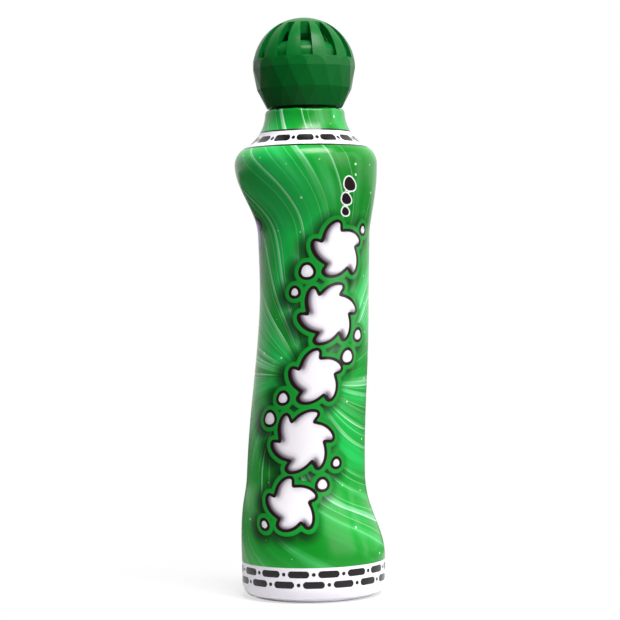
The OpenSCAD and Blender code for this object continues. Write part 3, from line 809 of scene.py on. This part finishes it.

# %% [markdown]
# The gap under the cap's rim is in shade, and that shade is painted onto the neck as a dark green,
# lowest down, that fades upwards in uneven blotches like dried ink. It could be painted on a map of
# its own, but a noise that moves the level where the painted shade fades is enough, because it
# follows the height. It covers the plastic's own colour and leaves its gloss and grain.

# %% Paint shade on the neck and dress the bottle
tree = white_bottle.node_tree
shader = tree.nodes["Principled BSDF"]
clean = shader.inputs["Base Color"].links[0].from_socket
blotch_mm, edge_waver_mm = 2.5, 4  # size of the painted shade's blotches, and how far they move the level where it fades
at = add(tree, "TexCoord").outputs["Object"]
place = add(tree, "SeparateXYZ", [at])
blotches = add(tree, "TexNoise", {"Vector": at, "Scale": 1 / (blotch_mm * MM), "Detail": 3.0})
wavered_z = add(tree, "Math MULTIPLY_ADD", [blotches, edge_waver_mm * MM, place.outputs["Z"]])
# painted shade for the gap under the cap's rim: darkest low on the neck, fading higher up
neck_shade_low, neck_shade_high = (collar_z + 3) * MM, (neck_z + 1) * MM
faded = add(
    tree, "MapRange",
    {"Value": wavered_z, "From Min": neck_shade_low, "From Max": neck_shade_high, "To Min": 0.96, "To Max": 0.25})
on_neck = add(tree, "Math GREATER_THAN", [place.outputs["Z"], roof_z * MM])
neck_shade = add(tree, "Math MULTIPLY", [faded, on_neck])
neck_shade_tint = add(
    tree, "ValToRGB", [neck_shade], stops=[(0.25, "#9fdcb0"), (0.55, "#37a057"), (0.95, "#04300d")])
neck_shade_share = add(tree, "Math MULTIPLY", [neck_shade, 1.5], use_clamp=True)
neck_shaded = add(tree, "Mix RGBA", {0: neck_shade_share, 6: clean, 7: neck_shade_tint})
fill(tree, shader, {"Base Color": neck_shaded})
dress(bottle, "bottle", "bottle_plastic", white_bottle, "bottle")

# %% [markdown]
# ## Copies round the axis
# The cap repeats itself: the same facets eighteen times round its skirt, the same slot twelve
# times round its crown. So only one sector of each is modelled, and a Geometry Nodes tree turns
# copies of it round the axis and welds their edges. A Bevel modifier then rounds the edges that
# carry a weight, and the result is kept as a plain mesh.

# %% Build the tree that turns copies
def turned_copies():
    """A Geometry Nodes tree that repeats a sector round the axis."""
    tree = bpy.data.node_groups.new("turned_copies", "GeometryNodeTree")
    sockets = {"Sector": "Geometry", "Copies": "Int", "Weld distance": "Float", "Finish": "Material"}
    for name, kind in sockets.items():
        tree.interface.new_socket(name, in_out="INPUT", socket_type="NodeSocket" + kind)
    tree.interface.new_socket("Piece", in_out="OUTPUT", socket_type="NodeSocketGeometry")
    given = add(tree, "NodeGroupInput")
    spots = add(tree, "GeometryNodePoints", {"Count": given.outputs["Copies"]})
    number = add(tree, "GeometryNodeInputIndex")
    step = add(tree, "Math DIVIDE", [2 * pi, given.outputs["Copies"]])
    turn = add(tree, "Math MULTIPLY", [number, step])
    about_z = add(tree, "CombineXYZ", {"Z": turn})
    rotation = add(tree, "FunctionNodeEulerToRotation", [about_z])
    copies = add(
        tree, "GeometryNodeInstanceOnPoints",
        {"Points": spots, "Instance": given.outputs["Sector"], "Rotation": rotation},
    )
    real = add(tree, "GeometryNodeRealizeInstances", [copies])
    welded = add(
        tree, "GeometryNodeMergeByDistance", {"Geometry": real, "Distance": given.outputs["Weld distance"]})
    painted = add(
        tree, "GeometryNodeSetMaterial", {"Geometry": welded, "Material": given.outputs["Finish"]})
    add(tree, "NodeGroupOutput", {"Piece": painted})
    return tree


copies_tree = turned_copies()


class Sector:
    """Points and faces of one sector of a piece, and the edges of it to be rounded."""

    def __init__(self):
        self.points, self.faces, self.round_edges = [], [], {}

    def point(self, radius, z, angle):
        """Adds a point, by its radius, height and angle in degrees."""
        a = radians(angle)
        self.points.append((radius * sin(a) * MM, -radius * cos(a) * MM, z * MM))
        return len(self.points) - 1

    def round(self, path, weight=1.0):
        """Marks the edges along a path of points."""
        for edge in zip(path, path[1:]):
            self.round_edges[frozenset(edge)] = weight

    def repeat(self, name, copies, bevel_mm, finish):
        """The whole piece: copies of the sector, welded, with the marked edges rounded."""
        mesh = bpy.data.meshes.new(name)
        mesh.from_pydata(self.points, [], self.faces)
        weights = [self.round_edges.get(frozenset(edge.vertices), 0.0) for edge in mesh.edges]
        mesh.attributes.new("bevel_weight_edge", "FLOAT", "EDGE").data.foreach_set("value", weights)
        piece = add_object(name, mesh)
        turning = piece.modifiers.new("turned_copies", "NODES")
        turning.node_group = copies_tree
        values = {"Copies": copies, "Weld distance": 0.001 * MM, "Finish": finish}
        for socket in copies_tree.interface.items_tree:
            if socket.name in values:
                turning[socket.identifier] = values[socket.name]
        bevel = piece.modifiers.new("rounded_edges", "BEVEL")
        bevel.limit_method = "WEIGHT"
        bevel.width, bevel.segments = bevel_mm * MM, 3
        bevel.use_clamp_overlap = True
        graph = bpy.context.evaluated_depsgraph_get()
        plain = bpy.data.meshes.new_from_object(piece.evaluated_get(graph), depsgraph=graph)
        piece.modifiers.clear()
        piece.data = plain
        return piece


print("tree inputs:", [item.name for item in copies_tree.interface.items_tree])

# %% [markdown]
# ## Cap body
# The lower half of the ball is cut into flat triangles, like a gem: eighteen corners at the rim,
# eighteen half a step on in the middle, and eighteen at the crease. Above the crease rises the
# dome that shows through the slots, and inside are the bore, the stop and a thread ridge.

# %% Build the cap body
cap_turn = 3.4            # degrees from the viewer to a corner and a slot
facets, ball_r, cap_skirt_h, facet_drop = 18, 13.65, 10.3, 5.4
rim_gap, rim_wall, pass_gap, crest_gap = 0.7, 0.85, 0.2, 0.25
spigot_h, crown_wall, dome_rise, dome_wall = 2.5, 1.45, 4.8, 1.2
dome_square = 3.0         # squareness of the dome's shoulder, where 2 is an ellipse
flange_t, seal_t, press_gap, run_gap, seal_land = 1.0, 1.0, 0.03, 0.08, 0.7
rim_z = collar_z + rim_gap
ball_z = rim_z + cap_skirt_h
cap_bore_r = neck_r + thread_depth + pass_gap
rim_r = cap_bore_r + rim_wall
facet_r = sqrt(ball_r ** 2 - facet_drop ** 2)
spigot_r = ball_r - crown_wall
dome_z = ball_z + spigot_h
flange_r = neck_r - run_gap
flange_z = neck_z + flange_t
cup_r = flange_r - seal_land
cap_stop_z = flange_z + seal_t
tip_room_r = cup_r + pass_gap + press_gap

facet_step = 360 / facets
strips = 6
edge_row = 0.4            # distance from the stop's corner to the row of points beside it
columns = [cap_turn + facet_step * k / strips for k in range(strips + 1)]
body = Sector()
rim = [body.point(rim_r, rim_z, a) for a in (columns[0], columns[-1])]
middle = [body.point(facet_r, ball_z - facet_drop, cap_turn + facet_step * k) for k in (0.5, 1.5)]
crease = [body.point(ball_r, ball_z, a) for a in (columns[0], columns[-1])]
body.faces += [
    (rim[0], rim[1], middle[0]), (rim[1], middle[1], middle[0]),
    (middle[0], middle[1], crease[1]), (middle[0], crease[1], crease[0]),
]
facet_weight, crease_weight, body_bevel = 0.6, 0.4, 0.22
body.round((rim[0], middle[0], rim[1]), facet_weight)
body.round((middle[0], middle[1], crease[1], middle[0]), facet_weight)
body.round(crease, crease_weight)
body.round(rim)


def lathe_rows(sector, path, outwards):
    """Adds rows of a round face to a sector, closing it at the axis, and returns its first row."""
    rows = []
    for r, z in path:
        rows.append([sector.point(r, z, a) for a in (columns if r > 1e-6 else [0])])
    for low, high in zip(rows, rows[1:]):
        for k in range(strips):
            face = [low[k], low[k + 1], high[(k + 1) % len(high)], high[k % len(high)]]
            face = list(dict.fromkeys(face))
            sector.faces.append(face if outwards else face[::-1])
    return rows[0]


def oval(share):
    """The share of a square-shouldered oval's rise at a share of its width, or the reverse."""
    return (1 - np.clip(share, 0, 1) ** dome_square) ** (1 / dome_square)


bend = np.radians(np.linspace(0, 90, 33))
dome_share = np.sin(bend) ** (2 / dome_square)
dome_path = np.concatenate([
    [[spigot_r, ball_z]], np.stack([spigot_r * oval(dome_share), dome_z + dome_rise * dome_share], 1)])
room_r = np.linspace(tip_room_r, 0, 11)
room_top = dome_z + (dome_rise - dome_wall) * oval(room_r / (spigot_r - dome_wall))
inside_path = np.concatenate([
    [[cap_bore_r, rim_z], [cap_bore_r, cap_stop_z - edge_row], [cap_bore_r, cap_stop_z]],
    [[tip_room_r, cap_stop_z]],
    np.stack([room_r, room_top], 1),
])
dome_path[-1, 0] = 0
spigot_row = lathe_rows(body, dome_path, True)
bore_row = lathe_rows(body, inside_path, False)
body.faces.append([rim[1], rim[0]] + bore_row)
body.faces.append([crease[0], crease[1]] + spigot_row[::-1])
cap_body = body.repeat("cap_body_faceted", facets, body_bevel, green_cap)
cap_thread_start, cap_thread_turn = 120, 360
cap_thread_z = thread_z - thread_lead / 2 + thread_lead * cap_thread_start / 360
cap_thread = thread_ridge(
    "cap_thread", cap_bore_r, neck_r + crest_gap, cap_thread_z, cap_thread_start, cap_thread_turn)
cap_body.data = joined("cap_body_faceted", cap_body.data, cap_thread)
cap_body.modifiers.new("flat_faces", "WEIGHTED_NORMAL")
dress(cap_body, "cap", "cap_plastic", green_cap, "cap_body")

# %% [markdown]
# ## Cap crown
# The upper half is a shell with twelve slots that run from its flat top down towards the crease.
# One sector holds one slot. Its outside is a ball, and its inside follows the spigot, the dome and
# a core that closes the view through the slots, so both are given as rows of radius and height.

# %% Crown sizes and rows
slots, slot_h, crown_disc_r, slot_top_w, slot_low_w, crown_t = 12, 2.4, 6.6, 2.1, 3.2, 1.85
core_lip, core_foot_r, slot_bevel = 0.3, 5.9, 0.2
crown_r = ball_r + 0.01   # a hair larger than the corner ring, as in CAD
slot_step = 360 / slots
inner_ball_r = ball_r - crown_t


def slot_half_angle(radius):
    """Half the angle that a slot takes at a radius from the axis."""
    width = slot_top_w + (slot_low_w - slot_top_w) * (radius - crown_disc_r) / (ball_r - crown_disc_r)
    return np.degrees(asin(width / 2 / radius))


def inside_r(h):
    """Radius of the crown's inside at a height above the crease: round the spigot, the dome, the ball."""
    below = (spigot_r + press_gap) * oval((h - spigot_h) / (dome_rise + press_gap))
    return max(below, sqrt(max(inner_ball_r ** 2 - h * h, 0)))


def on_ball(latitude):
    """Radius and height of a point of the outer ball."""
    return crown_r * cos(latitude), crown_r * sin(latitude)


def on_core(radius):
    """Radius and height of a point of the core, which stands on the dome and widens up to the disc."""
    low = spigot_h + (dome_rise + press_gap) * oval(min(radius, core_foot_r) / (spigot_r + press_gap))
    core_r = crown_disc_r + core_lip
    widening = max(radius - core_foot_r, 0) / (core_r - core_foot_r)
    return radius, low + (sqrt(inner_ball_r ** 2 - core_r ** 2) - low) * widening


slot_low = asin(slot_h / crown_r)
slot_high = np.arccos(crown_disc_r / crown_r)
inner_high = sqrt(inner_ball_r ** 2 - crown_disc_r ** 2)
ring_heights = (0.0, 0.7, 1.4, 1.95)
shares = np.concatenate([[0, 0.035], np.linspace(0.09, 0.91, 15), [0.965, 1]])
outer_rows, inner_rows = [], []
for h in ring_heights:
    outer_rows.append((sqrt(crown_r ** 2 - h * h), h))
    inner_rows.append((inside_r(h), h))
first_slot_row = len(outer_rows)
for t in shares:
    outer_rows.append(on_ball(slot_low + (slot_high - slot_low) * t))
    h = slot_h + (inner_high - slot_h) * sin(t * pi / 2) if t > 0 else slot_h
    inner_rows.append((inside_r(h), h))
inner_rows[-1] = on_core(crown_disc_r)   # the slots end on the core, which narrows down to the dome
last_slot_row = len(outer_rows) - 1
core_share = 1 - core_foot_r / crown_disc_r
for t in (core_share / 2, core_share, 0.2, 0.36, 0.52, 0.68, 0.84):
    outer_rows.append(on_ball(slot_high + (pi / 2 - slot_high) * t))
    inner_rows.append(on_core(crown_disc_r * (1 - t)))

print(f"crown: {len(outer_rows)} rows, {last_slot_row - first_slot_row + 1} of them along a slot")

# %% [markdown]
# The sector is a grid of nine columns of points, and two of the columns keep to the slot's edges.
# A Boolean could cut the slot too, but in a grid the edges to be rounded are known by their places.
# Where the slot is, the faces are left out, and walls join the outer grid to the inner one.

# %% Build the crown
crown = Sector()
SLOT_LEFT, SLOT_RIGHT, COLUMNS = 2, 6, 9


def crown_row(row):
    """Adds the points of one row of the crown, with its columns drawn to the slot's edges."""
    radius, h = row
    half = slot_half_angle(min(max(radius, crown_disc_r), ball_r))
    rib = (half + slot_step / 2) / 2
    turns = [-slot_step / 2, -rib, -half, -half / 2, 0, half / 2, half, rib, slot_step / 2]
    return [crown.point(radius, ball_z + h, cap_turn + a) for a in turns]


outer_grid = [crown_row(row) for row in outer_rows]
inner_grid = [crown_row(row) for row in inner_rows]
for i in range(len(outer_grid) - 1):
    in_slot = first_slot_row <= i < last_slot_row
    for j in range(COLUMNS - 1):
        if in_slot and SLOT_LEFT <= j < SLOT_RIGHT:
            continue
        o, n = outer_grid[i], outer_grid[i + 1]
        crown.faces.append((o[j], o[j + 1], n[j + 1], n[j]))
        o, n = inner_grid[i], inner_grid[i + 1]
        crown.faces.append((o[j + 1], o[j], n[j], n[j + 1]))
    if in_slot:
        o, n, p, q = outer_grid[i], outer_grid[i + 1], inner_grid[i], inner_grid[i + 1]
        crown.faces.append((o[SLOT_LEFT], p[SLOT_LEFT], q[SLOT_LEFT], n[SLOT_LEFT]))
        crown.faces.append((o[SLOT_RIGHT], n[SLOT_RIGHT], q[SLOT_RIGHT], p[SLOT_RIGHT]))
poles = [crown.point(0, ball_z + crown_r, 0), crown.point(0, ball_z + on_core(0)[1], 0)]
for j in range(COLUMNS - 1):
    o, p = outer_grid[0], inner_grid[0]
    crown.faces.append((o[j + 1], o[j], p[j], p[j + 1]))
    crown.faces.append((outer_grid[-1][j], outer_grid[-1][j + 1], poles[0]))
    crown.faces.append((inner_grid[-1][j + 1], inner_grid[-1][j], poles[1]))
for j in range(SLOT_LEFT, SLOT_RIGHT):
    o, p = outer_grid[first_slot_row], inner_grid[first_slot_row]
    crown.faces.append((o[j], o[j + 1], p[j + 1], p[j]))
    o, p = outer_grid[last_slot_row], inner_grid[last_slot_row]
    crown.faces.append((o[j], p[j], p[j + 1], o[j + 1]))
slot_rows = range(first_slot_row, last_slot_row + 1)
for grid in (outer_grid, inner_grid):
    for j in (SLOT_LEFT, SLOT_RIGHT):
        crown.round([grid[i][j] for i in slot_rows])
    for i in (first_slot_row, last_slot_row):
        crown.round(grid[i][SLOT_LEFT:SLOT_RIGHT + 1])
for i in (first_slot_row, last_slot_row):
    for j in (SLOT_LEFT, SLOT_RIGHT):
        crown.round((outer_grid[i][j], inner_grid[i][j]))
cap_crown = crown.repeat("cap_crown_slotted", slots, slot_bevel, green_cap)
print(f"crown: {len(crown.faces)} faces in a sector, {len(cap_crown.data.polygons)} in all")

# %% [markdown]
# Just above the crease the ball is cut by eighteen upright planes, and each leaves a flat
# half-round facet there. They don't repeat with the slots, so the Bisect operator cuts them once
# the sectors are welded.

# %% Cut the half-round facets above the crease
cut = bmesh.new()
cut.from_mesh(cap_crown.data)
bmesh.ops.recalc_face_normals(cut, faces=cut.faces)
apothem = ball_r * cos(radians(facet_step / 2))
for k in range(facets):
    a = radians(cap_turn + facet_step * (k + 0.5))
    way = Vector((sin(a), -cos(a), 0))
    result = bmesh.ops.bisect_plane(
        cut, geom=cut.verts[:] + cut.edges[:] + cut.faces[:], dist=1e-8,
        plane_co=way * apothem * MM + Vector((0, 0, ball_z * MM)), plane_no=way, clear_outer=True)
    rim_edges = [e for e in result["geom_cut"] if isinstance(e, bmesh.types.BMEdge)]
    filled = bmesh.ops.contextual_create(cut, geom=rim_edges)["faces"]
    for face in filled:
        face.normal_update()
        if face.normal.dot(way) < 0:
            face.normal_flip()
    for edge in rim_edges:
        edge.smooth = False
cut.to_mesh(cap_crown.data)
cut.free()
cap_crown.data.shade_smooth()
cap_crown.modifiers.new("flat_faces", "WEIGHTED_NORMAL").keep_sharp = True
dress(cap_crown, "cap", "cap_plastic", green_cap, "cap_crown")

# %% [markdown]
# ## Valve housing, ring and seal
# With the cap off, the valve's housing shows on the neck: a plug with a flange and a cup that
# guides the tip. A thin ring clamps the cloth, and a washer cut from foamed sheet seals the cap.
# All are round, so each is one outline with eased corners, spun round the axis.

# %% Turn the housing, the ring and the seal
plug_l, plug_wall, cup_h, cup_wall, seat_t, seat_hole_r = 11.0, 1.08, 3.0, 0.5, 1.5, 2.5
tip_travel, travel_gap, ring_wall, ring_h = 2.0, 0.3, 0.35, 1.7
plug_r = bore_r - press_gap
plug_z = neck_z - plug_l
seat_z = plug_z + seat_t
guide_r = plug_r - plug_wall
cup_z = flange_z + cup_h
cup_in_r = cup_r - cup_wall
disc_z = flange_z + tip_travel + travel_gap
ring_r = cup_in_r - pass_gap
ring_z = disc_z + ring_h
seal_r = (cup_r + pass_gap, cap_bore_r - pass_gap / 2)

housing = lathe("valve_housing_turned", rounded([
    (plug_r, plug_z), (plug_r, neck_z), (flange_r, neck_z), (flange_r, flange_z), (cup_r, flange_z),
    (cup_r, cup_z), (cup_in_r, cup_z), (cup_in_r, flange_z), (guide_r, flange_z), (guide_r, seat_z),
    (seat_hole_r, seat_z), (seat_hole_r, plug_z),
], 0.2))
dress(housing, "bottle", "valve_plastic", white_valve, "valve_housing")


def washer(name, inner, outer, low, high, easing):
    """A flat ring with eased edges."""
    return lathe(name, rounded([(outer, low), (outer, high), (inner, high), (inner, low)], easing))


def cellular(name, cell_mm, stops, pit_mm, strength, roughness):
    """A foam whose cells show as pits, with painted shade that darkens the middle of each pit."""
    made, tree, shader, at = start_material(name)
    cells = add(tree, "TexVoronoi", {"Vector": at, "Scale": 1 / (cell_mm * MM)})
    # painted shade: each cell's colour is darkest at its middle, where its pit is deepest
    tint = add(tree, "ValToRGB", [cells], stops=stops)
    pits = add(tree, "Bump", {"Height": cells, "Distance": pit_mm * MM, "Strength": strength})
    fill(tree, shader, {"Base Color": tint, "Normal": pits, "Roughness": roughness})
    return made


clamp = washer("cloth_ring_turned", ring_r - ring_wall, ring_r, disc_z, ring_z, 0.12)
stained_valve = moulded_plastic("moulded_PP_white_ink_stained", "#b9d8be", "#3f9a58", 0.4, 0.6, 0.01)
dress(clamp, "tip", "valve_plastic", stained_valve, "cloth_ring")
# painted shade: grey in the middle of each cell's pit
liner = cellular("foamed_PE_liner_sheet", 0.35, [(0.1, "#b9bab6"), (0.6, "#dcdcd8")], 0.05, 0.7, 0.75)
seal = washer("cap_seal_washer", *seal_r, flange_z, cap_stop_z, 0.18)
dress(seal, "seal", "seal_foam", liner, "cap_seal")

# %% [markdown]
# ## Foam tip and its cloth
# The tip is a dome of open foam with a fine knit cloth pulled over it and clamped by the ring.
# The cloth was a flat disc, so its map is that disc again: the way down from the top of the dome
# is the distance from the disc's middle. Pulled over an edge it has too much width there, and
# small gathers run up from the ring and die out on the dome.

# %% Build the foam and the cloth
cloth_t, disc_t, tip_side_h, tip_headroom = 0.35, 1.0, 1.8, 0.75
gathers, gather_depth, gather_h, swell, ring_fade = 22, 0.045, 4.2, 0.1, 0.6
dome_steps, side_steps = 28, 8
head_r = ring_r - ring_wall - 2 * press_gap - cloth_t
foam_z = disc_z + disc_t
side_z = foam_z + tip_side_h
tip_top = dome_z + dome_rise - dome_wall - tip_headroom - cloth_t - press_gap


def tip_path(gap, low):
    """Outline of the tip from its top down to a level, drawn a gap outside the foam."""
    bend = np.radians(np.linspace(90, 0, dome_steps + 1))
    dome = np.stack([(head_r + gap) * np.cos(bend), side_z + (tip_top - side_z + gap) * np.sin(bend)], 1)
    dome[0, 0] = 0
    straight = [(head_r + gap, z) for z in np.linspace(side_z, low, side_steps + 1)[1:]]
    return np.concatenate([dome, straight])


def tip_rings(path, angles, depth):
    """Rings round a tip outline, with gathers that grow towards the clamping ring."""
    wave = np.sin(gathers * angles) + 0.5 * np.sin((gathers + 7) * angles + 1)
    rings = []
    for r, z in path:
        rise = float(ease((disc_z + gather_h - z) / gather_h)) * float(ease((z - ring_z) / ring_fade))
        rings.append(ring(r + (depth * rise * wave + swell * rise if depth else 0), z, angles))
    return rings


angles = even_angles(176)
foam_rings = tip_rings(tip_path(0, foam_z), angles, 0) + [ring(0, foam_z, angles)]
foam = add_object("foam_pad_dome", joined("foam_pad_dome", skin("foam", foam_rings)))
cloth_out, cloth_in = tip_path(press_gap + cloth_t, disc_z), tip_path(press_gap, disc_z)
cloth_rings = tip_rings(cloth_out, angles, gather_depth) + tip_rings(cloth_in, angles, 0)[::-1]
cloth = add_object("tip_cloth_knit", joined("tip_cloth_knit", skin("knit", cloth_rings)))
down = np.concatenate([[0], np.cumsum(np.hypot(*np.diff(cloth_out, axis=0).T))])
cloth_map = cloth.data.uv_layers.new(name="cloth")
for loop in cloth.data.loops:
    x, y, z = cloth.data.vertices[loop.vertex_index].co / MM
    if z > side_z:
        way = np.interp(-z, -cloth_out[:dome_steps + 1, 1], down[:dome_steps + 1])
    else:
        way = down[dome_steps] + side_z - z
    flat_r = max(np.hypot(x, y), 1e-6)
    cloth_map.data[loop.index].uv = (x / flat_r * way, y / flat_r * way)
print(f"cloth: {down[-1]:.1f} mm from its middle to its edge")

# %% [markdown]
# A knit is rows of small V-shaped loops. Going up and down with the distance across each column
# bends straight rows into such Vs. The loops are drawn 0.45 mm wide, about twice the real size,
# so that a picture of the tip can hold them. The ink has soaked the cloth unevenly.

# %% Make the cloth and the foam, and dress them
loop_mm, soak_mm, stitch_depth, stitch_slant = 0.45, 3, 0.04, 0.9
ink_dark, ink_mid, ink_pale = "#063d14", "#0d5c22", "#2f8a48"
knit, tree, shader, at = start_material("fine_polyester_knit_ink_soaked")
parts = add(tree, "SeparateXYZ", {0: add(tree, "UVMap cloth")})
column = add(tree, "Math PINGPONG", [parts.outputs["X"], loop_mm])
slant = add(tree, "Math MULTIPLY_ADD", [column, stitch_slant, parts.outputs["Y"]])
row = add(tree, "Math MULTIPLY", [slant, 2 * pi / loop_mm])
stitch = add(tree, "Math SINE", [row])
soak = add(tree, "TexNoise", {"Vector": at, "Scale": 1 / (soak_mm * MM), "Detail": 4.0})
soaked = add(tree, "ValToRGB", [soak], stops=[(0.35, ink_dark), (0.5, ink_mid), (0.68, ink_pale)])
# painted shade and highlight: the loops' crests are drawn paler and the dips between them darker, along the
# bump's stitch wave
lift = add(tree, "MapRange", {"Value": stitch, "From Min": -1.0, "To Max": 0.35})
yarn = add(tree, "Mix RGBA", {0: lift, 6: soaked, 7: ink_pale})
relief = add(tree, "Bump", {"Height": stitch, "Distance": stitch_depth * MM, "Strength": 0.8})
fill(tree, shader, {"Base Color": yarn, "Normal": relief, "Roughness": 0.7, "Sheen Weight": 0.25})
dress(cloth, "tip", "tip_cloth", knit, "tip_cloth")

# the pores' dark middles are the ink's colour with painted shade in the pits
pore_stops = [(0.15, ink_dark), (0.6, ink_pale)]
sponge = cellular("open_cell_PU_foam_ink_soaked", 0.6, pore_stops, 0.15, 0.8, 0.85)
dress(foam, "tip", "tip_foam", sponge, "foam_pad")

# %% [markdown]
# ## Pieces inside
# The stem, the washer, the carrier and the ink keep their CAD shapes, because nothing of them
# shows from outside. They still get the finish of the real thing, such as black rubber with a
# bloom, and an ink that is darker towards the bottom.

# %% Finish the pieces inside
rubber = moulded_plastic("nitrile_rubber_black", "#161616", "#242423", 0.62, 0.4, 0.01)

dye, tree, shader, at = start_material("water_based_dye_ink_green")
dye_cloud_mm, dye_drift_mm = 12, 60
place = add(tree, "SeparateXYZ", [at])
clouds = add(tree, "TexNoise", {"Vector": at, "Scale": 1 / (dye_cloud_mm * MM), "Detail": 2.0})
# the ink is darker towards the bottom, with clouds that move the level
depth = add(tree, "Math MULTIPLY_ADD", [clouds, dye_drift_mm * MM, place.outputs["Z"]])
height_share = add(tree, "MapRange", {"Value": depth, "From Max": 0.15})
dye_tint = add(tree, "ValToRGB", [height_share], stops=[(0.1, "#02210a"), (0.9, "#0a5a1e")])
fill(tree, shader, {"Base Color": dye_tint, "Roughness": 0.06})

inside_finishes = {
    "valve_stem": stained_valve, "tip_carrier": stained_valve, "valve_washer": rubber, "ink": dye}
for name, finish in inside_finishes.items():
    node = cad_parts[name]
    node.data.materials.clear()
    node.data.materials.append(finish)
    print(f"{name}: {finish.name}")

# %% [markdown]
# ## Spring
# A spring is round wire wound along a helix, so rings of points are carried up that helix and
# skinned. A curve with a bevel would do too, but this is a mesh at once, with its ends closed. The
# spring stands on the valve's seat.

# %% Wind the spring
wire, tree, shader, at = start_material("drawn_stainless_wire")
die_line_mm = 0.15
die_lines = add(tree, "TexNoise", {"Vector": at, "Scale": 1 / (die_line_mm * MM), "Detail": 2.0})
wire_tint = add(tree, "ValToRGB", [die_lines], stops=[(0.3, "#8f9194"), (0.7, "#c4c6c9")])
wire_gloss = add(tree, "MapRange", {"Value": die_lines, "To Min": 0.22, "To Max": 0.42})
fill(tree, shader, {"Base Color": wire_tint, "Roughness": wire_gloss, "Metallic": 1.0})

stem_r, boss_wall, skirt_wall, wire_r = 1.5, 1.1, 0.9, 0.35
coil_turns, turn_steps, wire_sides = 7, 24, 10
coil_r = (stem_r + press_gap + boss_wall + guide_r - run_gap - skirt_wall) / 2
coil_low, coil_high = seat_z + press_gap + wire_r, disc_z - press_gap - wire_r
round_wire = np.linspace(0, 2 * pi, wire_sides, endpoint=False)
rings = []
for t in np.linspace(0, 1, coil_turns * turn_steps + 1):
    a = 2 * pi * coil_turns * t
    r = coil_r + wire_r * np.cos(round_wire)
    z = coil_low + (coil_high - coil_low) * t + wire_r * np.sin(round_wire)
    rings.append(np.stack([r * cos(a), r * sin(a), z], 1))
spring = add_object("valve_spring_wound", joined("valve_spring_wound", rod("coil", rings)))
dress(spring, "bottle", "spring_steel", wire, "valve_spring")
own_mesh(spring)
